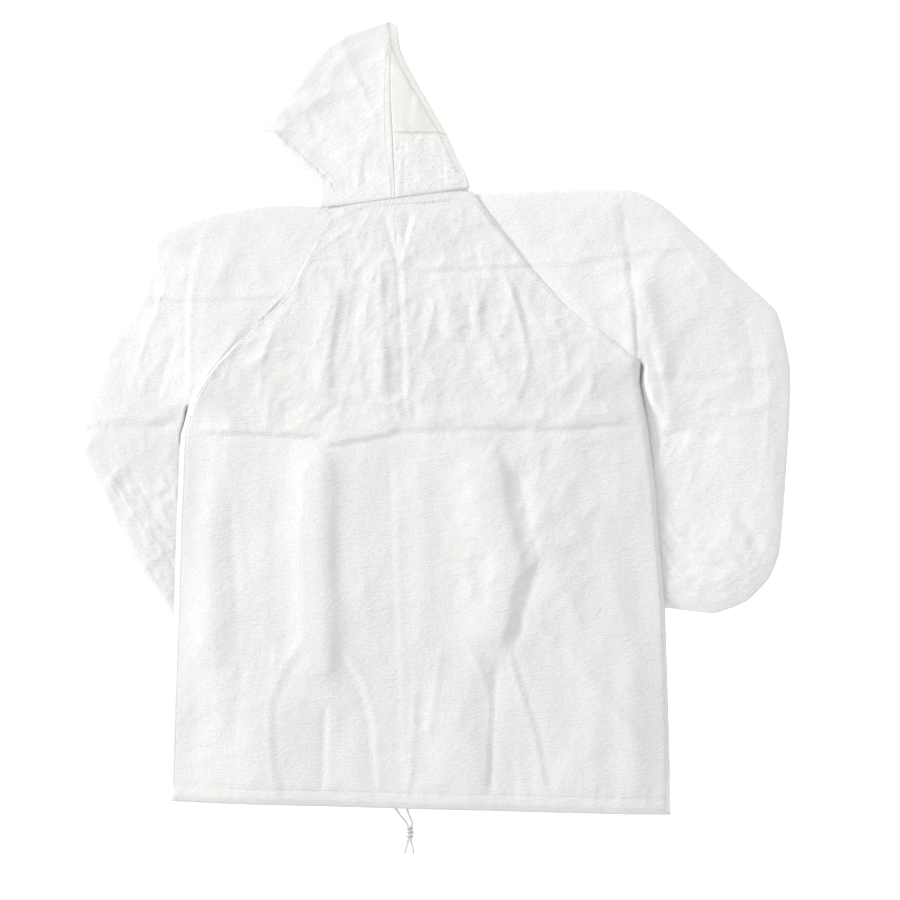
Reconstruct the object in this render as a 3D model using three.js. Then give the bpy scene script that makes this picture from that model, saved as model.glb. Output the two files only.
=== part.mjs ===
// A hooded beekeeping jacket of thin cloth, laid flat on its front with the sleeves bent at the elbows
// and the forearms tucked under it. Millimetres, +Z up, +X to the wearer's right, +Y to the hood.
// The cloth is drawn as thin closed sheets and flat tubes, so the body, sleeves, hood and pockets stay open.
import * as THREE from "three";

// Driving sizes
const hemHalfWidth = 327; // half of the hem, laid flat
const bodyLength = 770; // hem to neck edge at the centre back
const clothThickness = 2;
const bodyGap = 16; // open height between front and back below the shoulders
const neckGap = 10; // open height at the neck
const frontRest = 7.5; // height of the front's outer face over the ground, room for pockets and zip pulls
const fit = 0.3; // clearance between pieces that touch
const sleeveDepth = 11.5; // outer height of a flattened forearm
const cuffDepth = 12;
const sleeveRoom = 1.5; // between a tucked forearm and the front above it
const cuffLength = 34;
const cuffWall = 1.6;
const elasticWall = 1;
const hoodTop = 22; // underside of the hood's upper layer
const hemBand = 22; // width of the hem casing
const cordDiameter = 3;
const zipX = -45; // centre line of the front zip
const zipHalfGap = 7; // from the zip's centre to the edge of each front
const tapeWidth = 13;
const tapeThickness = 0.8;
const toothWidth = 2.1;
const toothDepth = 3;
const sliderLength = 11;
const pullLength = 28;
const pocketWidth = 130;
const pocketHeight = 145;
const chestPocketWidth = 110;
const chestPocketHeight = 125;
const pocketCloth = 1.6;

// Places that the sizes above act on
const hemLeft = [-19 - hemHalfWidth, -493];
const hemRight = [-19 + hemHalfWidth, -511];
const neckShift = bodyLength - 770; // the shoulders, hood and sleeves move as one when the body is longer
const up = ([x, y]) => [x, y + neckShift];
const leftArmpit = up([-313, 23]);
const rightArmpit = up([268, 78]);
const leftElbow = up([-463, -29]);
const rightElbow = up([450, -172]);
const neckCentre = up([-50, 289]);
const neckTilt = Math.atan2(26, 194); // the neck seam runs a little uphill to the right

// Colours
const white = { color: 0xf2f1ec, roughness: 0.9, metalness: 0 };
const cream = { color: 0xe9e6cf, roughness: 0.85, metalness: 0 };
const netting = { color: 0x1d1e20, roughness: 0.8, metalness: 0 };
const cordWhite = { color: 0xf0efe9, roughness: 0.85, metalness: 0 };
const tapeWhite = { color: 0xe6e6e2, roughness: 0.85, metalness: 0 };
const toothWhite = { color: 0xdcdcd6, roughness: 0.45, metalness: 0 };
const zinc = { color: 0xb4b6b8, roughness: 0.3, metalness: 0.9 };
const rubberWhite = { color: 0xe4e2da, roughness: 0.8, metalness: 0 };

const jacket = new THREE.Group();

function addPiece(name, geometry, look, holder = jacket) {
  const mesh = new THREE.Mesh(geometry, new THREE.MeshStandardMaterial(look));
  mesh.name = name;
  holder.add(mesh);
  return mesh;
}

// Helpers for curves and heights
const mix = (a, b, t) => a + (b - a) * t;
const mixPoint = (p, q, t) => [mix(p[0], q[0], t), mix(p[1], q[1], t)];
const smooth = (low, high, x) => THREE.MathUtils.smoothstep(x, low, high);
const evenStops = (n) => Array.from({ length: n + 1 }, (_, i) => i / n);
const denseEnds = (n) => evenStops(n).map((t) => 0.5 - 0.5 * Math.cos(Math.PI * t));

// A point along a list of stations, with the stations evenly spaced in t
function along(stations, t) {
  const k = Math.min(t * (stations.length - 1), stations.length - 1 - 1e-9);
  const i = Math.floor(k);
  return mixPoint(stations[i], stations[i + 1], k - i);
}

// A closed sheet of cloth: underside(u, v) gives a point, and the top is one thickness above it
function clothSheet(underside, uStops, vStops, thickness) {
  const nu = uStops.length - 1;
  const nv = vStops.length - 1;
  const sheet = new THREE.BoxGeometry(1, 1, 1, nu, nv, 1);
  const position = sheet.attributes.position;
  for (let i = 0; i < position.count; i++) {
    const u = uStops[Math.round((position.getX(i) + 0.5) * nu)];
    const v = vStops[Math.round((position.getY(i) + 0.5) * nv)];
    const [x, y, z] = underside(u, v);
    position.setXYZ(i, x, y, z + (position.getZ(i) + 0.5) * thickness);
  }
  return sheet;
}

// Rounds off a share that is as good as 0, so that a ring's first and last points are the same
const snap = (share) => (Math.abs(share) < 1e-6 ? 0 : share);

// A flattened tube between a left and a right edge, open at both ends. rise(t) gives its low and high side.
function flatTube(leftEdge, rightEdge, rise, wall, rows, boxiness = 0.55, around = 16) {
  const profile = [];
  for (let i = 0; i <= rows; i++) profile.push(new THREE.Vector2(2, i / rows));
  for (let i = rows; i >= 0; i--) profile.push(new THREE.Vector2(1, i / rows));
  profile.push(profile[0].clone());
  const tube = new THREE.LatheGeometry(profile, around);
  const position = tube.attributes.position;
  const [nearLeft, nearRight, farLeft] = [along(leftEdge, 0.4), along(rightEdge, 0.4), along(leftEdge, 0.6)];
  const facing = Math.sign(
    (nearRight[0] - nearLeft[0]) * (farLeft[1] - nearLeft[1]) -
      (nearRight[1] - nearLeft[1]) * (farLeft[0] - nearLeft[0]),
  );
  for (let i = 0; i < position.count; i++) {
    const reach = Math.hypot(position.getX(i), position.getZ(i));
    const across = snap(position.getX(i) / reach);
    const upward = snap((facing * position.getZ(i)) / reach); // keeps the faces pointing out either way along
    const t = position.getY(i);
    const inset = reach > 1.5 ? 0 : wall;
    const left = along(leftEdge, t);
    const right = along(rightEdge, t);
    const [low, high] = rise(t);
    const width = Math.hypot(right[0] - left[0], right[1] - left[1]);
    const halfHeight = (high - low) / 2 - inset;
    const side = Math.sign(across) * Math.abs(across) ** boxiness * (0.5 - inset / width);
    const lift = Math.sign(upward) * Math.abs(upward) ** boxiness * halfHeight;
    const [x, y] = mixPoint(left, right, 0.5 + side);
    position.setXYZ(i, x, y, (low + high) / 2 + lift);
  }
  return tube;
}

// A cord along points that it passes at even steps, so tight bends get as many steps as long runs
class Route extends THREE.CatmullRomCurve3 {
  getPointAt(t, target) {
    return this.getPoint(t, target);
  }

  getTangentAt(t, target) {
    return this.getTangent(t, target);
  }
}

function cordAlong(points, stepsPerPoint) {
  const section = new THREE.Shape();
  for (let i = 0; i < 8; i++) {
    const turn = (i / 8) * 2 * Math.PI;
    const x = Math.cos(turn) * (cordDiameter / 2);
    const y = Math.sin(turn) * (cordDiameter / 2);
    if (i === 0) section.moveTo(x, y);
    else section.lineTo(x, y);
  }
  const route = new Route(points.map((p) => new THREE.Vector3(...p)), false, "centripetal");
  const steps = (points.length - 1) * stepsPerPoint;
  return new THREE.ExtrudeGeometry(section, { steps, extrudePath: route, bevelEnabled: false });
}

// Heights of the front and back of the body
function frontUnder(x, y) {
  const leftReach = Math.hypot(x - leftElbow[0], y - leftElbow[1]);
  const leftCover = (1 - smooth(400, 425, leftReach)) * (1 - smooth(-205, -165, x));
  const leftBelow = 1 - smooth(leftElbow[1] - 22, leftElbow[1] + 25, y);
  const rightReach = Math.hypot(x - rightElbow[0], y - rightElbow[1]);
  const rightCover = (1 - smooth(372, 395, rightReach)) * smooth(55, 98, x);
  const rightBelow = 1 - smooth(rightElbow[1] + 90, rightElbow[1] + 150, y);
  const aboveHem = smooth(hemAt(x) + 42, hemAt(x) + 57, y);
  const cover = aboveHem * Math.max(leftCover * leftBelow, rightCover * rightBelow);
  return frontRest + cover * (cuffDepth + sleeveRoom - frontRest);
}

const backUnder = (y) =>
  frontRest + clothThickness + mix(bodyGap, neckGap, smooth(100 + neckShift, 265 + neckShift, y));
const hemAt = (x) => mix(hemLeft[1], hemRight[1], (x - hemLeft[0]) / (hemRight[0] - hemLeft[0]));

// The body's side edges from the hem to the armpit, and on up the raglan seam to the neck
const leftNeck = up([-129, 267]);
const rightNeck = up([49, 294]);
const raglan = (armpit, neck) => [0, 1 / 3, 2 / 3, 1].map((t) => mixPoint(armpit, neck, t));
const leftBodyEdge = [
  hemLeft,
  mixPoint(hemLeft, leftArmpit, 0.25),
  mixPoint(hemLeft, leftArmpit, 0.5),
  mixPoint(hemLeft, leftArmpit, 0.75),
  mixPoint(hemLeft, leftArmpit, 0.93),
  ...raglan(leftArmpit, leftNeck),
];
const rightBodyEdge = [
  hemRight,
  mixPoint(hemRight, rightArmpit, 0.25),
  mixPoint(hemRight, rightArmpit, 0.5),
  mixPoint(hemRight, rightArmpit, 0.75),
  mixPoint(hemRight, rightArmpit, 0.93),
  ...raglan(rightArmpit, rightNeck),
];
const armpitRow = 5 / 8; // share of the rows that lie below the armpit
const bodyRows = [0, 0.041, 0.061, 0.1, ...evenStops(16).slice(3)]; // the hem's flat band, then the rest

function buildBack() {
  const under = (u, v) => {
    const [x, y] = mixPoint(along(leftBodyEdge, v), along(rightBodyEdge, v), u);
    const closed = 1 - smooth(armpitRow, armpitRow + 0.1, v); // side seams close, raglan seams stay open
    const toEdge = Math.min(1, Math.min(u, 1 - u) / 0.06);
    const seam = frontUnder(x, y) + clothThickness + fit;
    const crown = Math.max(backUnder(y), seam);
    return [x, y, mix(crown, seam, closed * (1 - toEdge) ** 2)];
  };
  addPiece("back_panel", clothSheet(under, denseEnds(14), bodyRows, clothThickness), white);
}

function buildFronts() {
  const zipEdge = (side, v) => [zipX + side * zipHalfGap, mix(hemAt(zipX), neckCentre[1] - 11, v)];
  const left = (u, v) => {
    const [x, y] = mixPoint(along(leftBodyEdge, v), zipEdge(-1, v), u);
    return [x, y, frontUnder(x, y)];
  };
  const right = (u, v) => {
    const [x, y] = mixPoint(zipEdge(1, v), along(rightBodyEdge, v), u);
    return [x, y, frontUnder(x, y)];
  };
  addPiece("front_left", clothSheet(left, evenStops(12), bodyRows, clothThickness), white);
  addPiece("front_right", clothSheet(right, evenStops(12), bodyRows, clothThickness), white);
}

// A sleeve's upper part is a tube from the raglan seam to the elbow
function sleeveRise(t) {
  const low = frontRest * (1 - smooth(0, 0.45, t));
  const high = mix(frontRest + bodyGap, sleeveDepth + 0.5, smooth(0, 0.8, t));
  return [low, high];
}

const forearmRise = () => [0, sleeveDepth];
const seamStep = 1; // cloth pieces that are sewn end to end stand this far apart

function buildLeftSleeve() {
  const outer = [up([-134, 269]), up([-213, 274]), up([-291, 264]), up([-356, 235]),
    up([-391, 153]), up([-434, 69]), leftElbow];
  const inner = [
    mixPoint(leftArmpit, up([-400, 23]), 0.05),
    ...[[-324, 8], [-328, -5], [-332, -18], [-335, -32], [-337, -46], [-338, -58]].map(up),
  ];
  addPiece("left_sleeve", flatTube(outer, inner, sleeveRise, clothThickness, 12), white);
  const forearmOuter = [[-463, -29 - seamStep], [-441, -74], [-408, -146], [-382, -195], [-346, -247],
    [-322, -300]].map(up);
  const forearmInner = [[-338, -59 - seamStep], [-312, -98], [-288, -143], [-268, -187], [-251, -230],
    [-240, -270]].map(up);
  const forearm = flatTube(forearmOuter, forearmInner, forearmRise, clothThickness, 10);
  addPiece("left_forearm_sleeve", forearm, white);
  buildCuff("left", forearmOuter.at(-1), forearmInner.at(-1), [0.36, -0.93]);
}

function buildRightSleeve() {
  const outer = [[54, 297], [138, 300], [242, 299], [294, 277], [361, 222], [391, 195], [447, 143],
    [464, 73], [463, -3], [456, -107], [450, -172]].map(up);
  const inner = [[272, 76], [280, 67], [284, 53], [287, 38], [290, 20], [293, 0], [296, -20], [298, -42],
    [300, -62], [302, -80], [303, -97]].map(up);
  addPiece("right_sleeve", flatTube(inner, outer, sleeveRise, clothThickness, 20), white);
  const forearmOuter = [[450, -172 - seamStep], [437, -204], [408, -234], [365, -250], [303, -243],
    [230, -232], [172, -224]].map(up);
  const forearmInner = [[303, -98 - seamStep], [290, -103], [275, -106], [255, -108], [232, -111],
    [198, -114], [167, -117]].map(up);
  const forearm = flatTube(forearmInner, forearmOuter, forearmRise, clothThickness, 12);
  addPiece("right_forearm_sleeve", forearm, white);
  buildCuff("right", forearmInner.at(-1), forearmOuter.at(-1), [-1, 0.03]);
}

// A cuff is a short gathered tube with a ring of elastic inside it
function buildCuff(side, leftStart, rightStart, way) {
  const step = (p, distance) => [p[0] + way[0] * distance, p[1] + way[1] * distance];
  const narrow = (a, b, share) => [mixPoint(a, b, share), mixPoint(a, b, 1 - share)];
  const [nearLeft, nearRight] = narrow(step(leftStart, seamStep), step(rightStart, seamStep), 0.02);
  const [farLeft, farRight] = narrow(step(leftStart, cuffLength), step(rightStart, cuffLength), 0.1);
  const cuff = flatTube([nearLeft, farLeft], [nearRight, farRight], () => [0, cuffDepth], cuffWall, 2, 0.4);
  addPiece(side + "_cuff", cuff, white);
  const inside = cuffWall + fit;
  const width = Math.hypot(farRight[0] - farLeft[0], farRight[1] - farLeft[1]);
  const place = (t) => narrow(mixPoint(nearLeft, farLeft, t), mixPoint(nearRight, farRight, t), inside / width);
  const [elasticNearLeft, elasticNearRight] = place(0.5);
  const [elasticFarLeft, elasticFarRight] = place(0.95);
  const elastic = flatTube(
    [elasticNearLeft, elasticFarLeft],
    [elasticNearRight, elasticFarRight],
    () => [inside, cuffDepth - inside],
    elasticWall,
    2,
    0.4,
  );
  addPiece(side + "_cuff_elastic", elastic, rubberWhite);
}

// The hem is turned up inside over a drawcord, which runs all the way round and comes out beside the zip
const casingEnd = 21; // from the zip's centre to the open end of each casing
const cordInset = 10; // from the hem's edge to the cord
const turnX = 52; // from each side of the hem to the cord's turn
const cordBackZ = backUnder(hemAt(zipX)) - 2 * fit - cordDiameter / 2;
const cordFront = (x) => frontUnder(x, hemAt(x)) + clothThickness + 2 * fit + cordDiameter / 2;

function buildHem() {
  const facing = 1;
  const band = (fromX, toX, height) => {
    const under = (u, v) => {
      const x = mix(fromX, toX, u);
      return [x, hemAt(x) + mix(1, hemBand, v), height(x)];
    };
    return clothSheet(under, evenStops(8), evenStops(1), facing);
  };
  const backHeight = () => cordBackZ - cordDiameter / 2 - fit - facing;
  const frontHeight = (x) => cordFront(x) + cordDiameter / 2 + fit;
  const leftEnd = hemLeft[0] + turnX;
  const rightEnd = hemRight[0] - turnX;
  addPiece("back_hem_casing", band(leftEnd, rightEnd, backHeight), white);
  addPiece("front_hem_casing_left", band(leftEnd, zipX - casingEnd, frontHeight), white);
  addPiece("front_hem_casing_right", band(zipX + casingEnd, rightEnd, frontHeight), white);
}

function buildDrawcord() {
  const at = (x, z) => [x, hemAt(x) + cordInset, z];
  const turn = (x, way, from) => {
    const middle = (cordBackZ + cordFront(x)) / 2;
    const radius = (cordBackZ - cordFront(x)) / 2;
    return [0, 1, 2, 3, 4].map((i) => {
      const angle = (i / 4) * Math.PI;
      return at(x + way * radius * Math.sin(angle), middle + from * radius * Math.cos(angle));
    });
  };
  const leftTurn = hemLeft[0] + turnX;
  const rightTurn = hemRight[0] - turnX;
  const run = (from, to, height) => {
    const lead = 5 * Math.sign(to - from); // a short straight length before each bend
    const stops = [from + lead, mix(from, to, 0.35), mix(from, to, 0.65), to - lead];
    return stops.map((x) => at(x, height(x)));
  };
  const points = [
    at(zipX - casingEnd, cordFront(zipX)),
    ...run(zipX - casingEnd, leftTurn, cordFront).slice(1),
    ...turn(leftTurn, -1, -1),
    ...run(leftTurn, rightTurn, () => cordBackZ),
    ...turn(rightTurn, 1, 1),
    ...run(rightTurn, zipX + casingEnd, cordFront).slice(0, -1),
    at(zipX + casingEnd, cordFront(zipX)),
  ];
  addPiece("hem_drawcord", cordAlong(points, 2), cordWhite);
}

// The cord's free ends come out beside the zip and are tied together in one knot below the hem
const strandLeft = [
  [-65.6, -490.9, 11.6],
  [-60, -492.2, 11.7],
  [-54.5, -496.5, 11.8],
  [-49.5, -503.5, 11],
  [-45, -510.5, 7.6],
  [-40.5, -517, 4.8],
  [-36.2, -522.3, 3.8],
];
const strandRight = [
  [-24.4, -492, 11.6],
  [-29, -493.2, 11.7],
  [-33, -497.3, 11.7],
  [-34.4, -504, 10.8],
  [-32.8, -511, 7.6],
  [-30.2, -517.5, 4.8],
  [-28.4, -522.8, 3.8],
];
const endLeft = [
  [-34.2, -549.6, 2.6],
  [-35.6, -554, 1.9],
  [-37.2, -558.5, 1.6],
  [-38.6, -563, 1.6],
];
const endRight = [
  [-29.2, -549.8, 2.6],
  [-28, -554.4, 1.9],
  [-27.2, -559, 1.6],
  [-27, -563.6, 1.6],
];
const knotPlace = [-32, -536, 4];
const knotSize = [13, 26, 7.6];

function buildCordEnds() {
  addPiece("cord_strand_left", cordAlong(strandLeft, 1), cordWhite);
  addPiece("cord_strand_right", cordAlong(strandRight, 1), cordWhite);
  addPiece("cord_end_left", cordAlong(endLeft, 1), cordWhite);
  addPiece("cord_end_right", cordAlong(endRight, 1), cordWhite);
  const knot = addPiece("cord_knot", new THREE.SphereGeometry(0.5, 12, 8), cordWhite);
  knot.geometry.scale(...knotSize);
  knot.position.set(...knotPlace);
}

// A sheet pocket is sewn on at its sides and foot, and stands open at its top
function buildPocket(name, [x, y], width, height) {
  const rise = frontRest - fit - pocketCloth;
  const under = (u, v) => {
    const toSide = Math.min(1, (Math.min(u, 1 - u) * width) / 7);
    const toFoot = Math.min(1, (v * height) / 7);
    return [x + u * width, y + v * height, rise * (1 - Math.min(toSide, toFoot))];
  };
  const edge = 7 / width;
  const foot = 7 / height;
  const uStops = [0, edge, 0.35, 0.65, 1 - edge, 1];
  addPiece(name, clothSheet(under, uStops, [0, foot, 0.5, 1], pocketCloth), white);
}

// The collar and the neck zip are flattened rings, drawn in a group that follows the neck seam
const collarLow = frontRest;
const collarHigh = frontRest + clothThickness + neckGap + clothThickness;

const neckHalf = 95; // half of the neck opening, laid flat
const collarReach = [-7.5, 8]; // the collar's two edges, measured from the neck seam
const neckTapeWidth = 2.2;
const neckToothWidth = 1.4;
const hoodOverlap = 22; // the hood's lower layer starts this far above the neck seam

function neckRing(from, to, wall, inset) {
  const rise = () => [collarLow + inset, collarHigh - inset];
  const left = [[-neckHalf, from], [-neckHalf, to]];
  const right = [[neckHalf, from], [neckHalf, to]];
  return flatTube(left, right, rise, wall, 1, 0.5);
}

function buildNeck() {
  const neck = new THREE.Group();
  neck.position.set(neckCentre[0], neckCentre[1], 0);
  neck.rotation.z = neckTilt;
  jacket.add(neck);
  const collarRise = () => [collarLow, collarHigh];
  const [low, high] = collarReach;
  const collar = flatTube(
    [[-neckHalf + 13, low], [-neckHalf - 1, high]],
    [[neckHalf + 3, low], [neckHalf + 1, high]],
    collarRise,
    clothThickness,
    2,
    0.5,
  );
  addPiece("collar_band", collar, white, neck);
  let edge = high + fit;
  const ring = (name, width, wall, inset, look) => {
    addPiece(name, neckRing(edge, edge + width, wall, inset), look, neck);
    edge += width + fit;
  };
  ring("neck_zip_tape_collar", neckTapeWidth, 1.2, 1, tapeWhite);
  ring("neck_zip_teeth_collar", neckToothWidth, 2, 0.6, toothWhite);
  const mesh = edge - fit / 2; // where the two rows of teeth meet
  ring("neck_zip_teeth_hood", neckToothWidth, 2, 0.6, toothWhite);
  ring("neck_zip_tape_hood", neckTapeWidth, 1.2, 1, tapeWhite);
  buildSlider("neck", neck, neckSliderStart, mesh, -Math.PI / 2, collarLow + 0.6);
}

// A slider is a block under the teeth, and its pull is a flat tab that lies on the ground beside it
const sliderWidth = 8.5;
const sliderBase = 2.2;
const pullThickness = 1.8;
const pullWidth = 6;
const neckSliderStart = 55; // the parked slider's place along the neck, from its centre

function buildSlider(name, holder, x, y, turn, teethUnderside) {
  const place = new THREE.Group();
  place.position.set(x, y, 0);
  place.rotation.z = turn;
  holder.add(place);
  const height = teethUnderside - fit - sliderBase;
  const body = addPiece(name + "_zip_slider", new THREE.BoxGeometry(sliderWidth, sliderLength, height), zinc, place);
  body.position.set(0, 0, sliderBase + height / 2);
  const tab = new THREE.Shape();
  const end = -pullLength + pullWidth / 2;
  tab.moveTo(-pullWidth / 2, 0);
  tab.absarc(0, end, pullWidth / 2, Math.PI, 2 * Math.PI);
  tab.lineTo(pullWidth / 2, 0);
  tab.closePath();
  const eye = new THREE.Path();
  eye.absarc(0, end, pullWidth / 4, 0, 2 * Math.PI, true);
  tab.holes.push(eye);
  const settings = { depth: pullThickness, bevelEnabled: false, curveSegments: 6 };
  addPiece(name + "_zip_pull", new THREE.ExtrudeGeometry(tab, settings), zinc, place);
}

function buildFrontZip() {
  const foot = hemAt(zipX) + 2;
  const head = neckCentre[1] - 14;
  const zip = new THREE.Group();
  zip.position.set(zipX, foot, 0);
  jacket.add(zip);
  const length = head - foot;
  const boxLength = 8;
  const slit = 0.2;
  const bar = (name, width, low, deep, x, start, look) => {
    const mesh = addPiece(name, new THREE.BoxGeometry(width, length - start, deep), look, zip);
    mesh.position.set(x, start + (length - start) / 2, low + deep / 2);
  };
  const toothX = slit + toothWidth / 2;
  const tapeX = slit + toothWidth + fit + tapeWidth / 2;
  const tapeLow = frontRest + clothThickness + fit;
  const tapeStart = cordInset + 2 * cordDiameter; // the tape ends above the cord's way out
  bar("front_zip_teeth_left", toothWidth, frontRest, toothDepth, -toothX, boxLength + fit, toothWhite);
  bar("front_zip_teeth_right", toothWidth, frontRest, toothDepth, toothX, boxLength + fit, toothWhite);
  bar("front_zip_tape_left", tapeWidth, tapeLow, tapeThickness, -tapeX, tapeStart, tapeWhite);
  bar("front_zip_tape_right", tapeWidth, tapeLow, tapeThickness, tapeX, tapeStart, tapeWhite);
  const box = addPiece("front_zip_box", new THREE.BoxGeometry(10, boxLength, toothDepth + 1), toothWhite, zip);
  box.position.set(0, boxLength / 2, frontRest - 0.5 + (toothDepth + 1) / 2);
  buildSlider("front", zip, 0, length - sliderLength, 0, frontRest);
}

// The hood lies in profile: a lower layer on the ground and an upper layer of three pieces
const hoodFront = [[-147, 276], [-148, 305], [-174, 331], [-213, 370], [-220, 381], [-196, 413], [-174, 443],
  [-135, 485], [-62, 511]].map(up);
const hoodSeam = [[-50, 289], [-50, 303], [-51, 325], [-52, 350], [-53, 374], [-55, 405], [-56, 440],
  [-58, 475], [-59, 511]].map(up);
const hoodBack = [[47, 302], [43, 316], [38, 329], [28, 350], [17, 372], [-5, 407], [-24, 441],
  [-44, 478], [-57, 512]].map(up);
const bandTop = 4 / 8; // share of the rows below the seam across the back of the hood
const tipRow = 4 / 8; // share of the rows below the hood's front tip

function buildHood() {
  const lower = fit + clothThickness;
  const fold = (distance) => (1 - Math.min(1, distance / 14)) ** 2; // the upper layer turns down at a folded edge
  const part = (name, leftEdge, rightEdge, fromV, toV, look, columns, rows) => {
    const under = (u, v) => {
      const t = mix(fromV, toV, v);
      const leftPoint = leftEdge(t);
      const rightPoint = rightEdge(t);
      const point = mixPoint(leftPoint, rightPoint, u);
      const outerLeft = along(hoodFront, t);
      const outerRight = along(hoodBack, t);
      const toBack = Math.hypot(point[0] - outerRight[0], point[1] - outerRight[1]);
      const toFront = Math.hypot(point[0] - outerLeft[0], point[1] - outerLeft[1]);
      const open = 1 - smooth(tipRow - 0.06, tipRow + 0.06, t);
      const closed = Math.max(fold(toBack), fold(toFront) * (1 - open));
      return [...point, mix(hoodTop, lower, closed * smooth(0.18, 0.32, t))];
    };
    addPiece(name, clothSheet(under, columns, evenStops(rows), clothThickness), look);
  };
  const shift = (stations, dx) => (t) => {
    const [x, y] = along(stations, t);
    return [x + dx, y];
  };
  const frontEdge = shift(hoodFront, 0);
  const backEdge = shift(hoodBack, 0);
  const gap = seamStep / 2;
  const backGap = 0.006; // share of the rows left open along the seam across the back
  const peak = 0.99;
  part("hood_side_panel", frontEdge, shift(hoodSeam, -gap), 0, peak, white, [0, 0.06, 0.15, 0.35, 0.6, 0.8, 1], 12);
  part("hood_neck_band", shift(hoodSeam, gap), backEdge, 0, bandTop - backGap, white, [0, 0.4, 0.75, 0.9, 1], 6);
  part("hood_back_panel", shift(hoodSeam, gap), backEdge, bandTop + backGap, peak - 0.05, cream,
    [0, 0.4, 0.7, 0.88, 1], 6);
}

function buildHoodInside() {
  const lowerStart = 1.1 / 8;
  const lower = (u, v) => {
    const t = mix(lowerStart, 0.99, v);
    return [...mixPoint(along(hoodFront, t), along(hoodBack, t), u), 0];
  };
  addPiece("hood_under_panel", clothSheet(lower, evenStops(6), evenStops(8), clothThickness), white);
  const faceStrip = (name, low, thickness, width, fromV, toV, look) => {
    const under = (u, v) => {
      const t = mix(fromV, toV, v);
      const [x, y] = along(hoodFront, t);
      return [x + 1.5 + u * width, y + 0.9 * (1.5 + u * width) * 0.35, low];
    };
    addPiece(name, clothSheet(under, evenStops(2), evenStops(4), thickness), look);
  };
  const rimV = [0.17, 0.39];
  faceStrip("face_rim_upper", hoodTop - 3 * fit - 1, 1, 18, ...rimV, white);
  faceStrip("face_rim_lower", clothThickness + fit, 1, 18, ...rimV, white);
  faceStrip("veil", clothThickness + fit + 1 + 1.2, 0.8, 62, ...rimV, netting);
}

buildBack();
buildFronts();
buildLeftSleeve();
buildRightSleeve();
buildHem();
buildDrawcord();
buildCordEnds();
buildPocket("left_waist_pocket", [-205, -480], pocketWidth, pocketHeight);
buildPocket("right_waist_pocket", [20, -480], pocketWidth, pocketHeight);
buildPocket("chest_pocket", up([-190, 40]), chestPocketWidth, chestPocketHeight);
buildNeck();
buildFrontZip();
buildHood();
buildHoodInside();

export default jacket;
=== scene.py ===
import math

import bmesh
import bpy
import numpy as np
from mathutils import Matrix, Vector


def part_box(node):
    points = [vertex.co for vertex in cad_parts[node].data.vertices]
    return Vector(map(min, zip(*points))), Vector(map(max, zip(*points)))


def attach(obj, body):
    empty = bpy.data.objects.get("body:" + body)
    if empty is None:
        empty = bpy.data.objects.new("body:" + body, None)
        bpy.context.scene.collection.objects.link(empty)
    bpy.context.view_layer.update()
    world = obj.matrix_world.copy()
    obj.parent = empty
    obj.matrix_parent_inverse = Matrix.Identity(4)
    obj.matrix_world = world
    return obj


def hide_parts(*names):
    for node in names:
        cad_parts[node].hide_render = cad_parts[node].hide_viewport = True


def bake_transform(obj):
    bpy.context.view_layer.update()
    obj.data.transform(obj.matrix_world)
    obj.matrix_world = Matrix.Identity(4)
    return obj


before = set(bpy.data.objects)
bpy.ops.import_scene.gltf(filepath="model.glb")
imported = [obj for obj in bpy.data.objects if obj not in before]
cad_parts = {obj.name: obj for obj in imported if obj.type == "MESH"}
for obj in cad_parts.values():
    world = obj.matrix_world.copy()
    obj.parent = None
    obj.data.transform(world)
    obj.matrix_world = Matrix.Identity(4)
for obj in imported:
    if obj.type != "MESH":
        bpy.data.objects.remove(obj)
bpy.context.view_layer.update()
mm = 0.001

# Camera straight above the jacket, which lies on a pale table
cameraPlace = {"x": 21, "y": -37, "height": 2800, "lens": 85.8, "sensor": 36}
lightPlan = {
    "key": {"place": (-5.2, 1.1, 2.35), "size": (2.0, 1.4), "power": 205},
    "fill": {"place": (0.3, 0.2, 3.5), "size": (3.0, 3.0), "power": 8},
    "rear": {"place": (0.6, 2.6, 1.3), "size": (2.0, 1.0), "power": 7},
    "worldStrength": 0.665,
    "floorGlow": 0.55,
    "tableReach": 4,  # metres, half the side of the table
    "tableHeight": -0.0006,  # just under the lowest cloth
}


def finishMesh(name, bm):
    mesh = bpy.data.meshes.new(name)
    bm.to_mesh(mesh)
    bm.free()
    return mesh


def makeCamera():
    camera = bpy.data.cameras.new("tableCamera")
    camera.lens = cameraPlace["lens"]
    camera.sensor_width = cameraPlace["sensor"]
    camera.clip_end = 20
    holder = bpy.data.objects.new("tableCamera", camera)
    holder.location = (cameraPlace["x"] * mm, cameraPlace["y"] * mm, cameraPlace["height"] * mm)
    bpy.context.scene.collection.objects.link(holder)
    bpy.context.scene.camera = holder
    bpy.context.scene.view_settings.view_transform = "Standard"  # whites stay white


def makeAreaLight(name, place, size, power):
    light = bpy.data.lights.new(name, "AREA")
    light.shape = "RECTANGLE"
    light.size, light.size_y = size
    light.energy = power
    holder = bpy.data.objects.new(name, light)
    bpy.context.scene.collection.objects.link(holder)
    holder.location = place
    holder.rotation_euler = (-Vector(place)).to_track_quat("-Z", "Y").to_euler()


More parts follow.
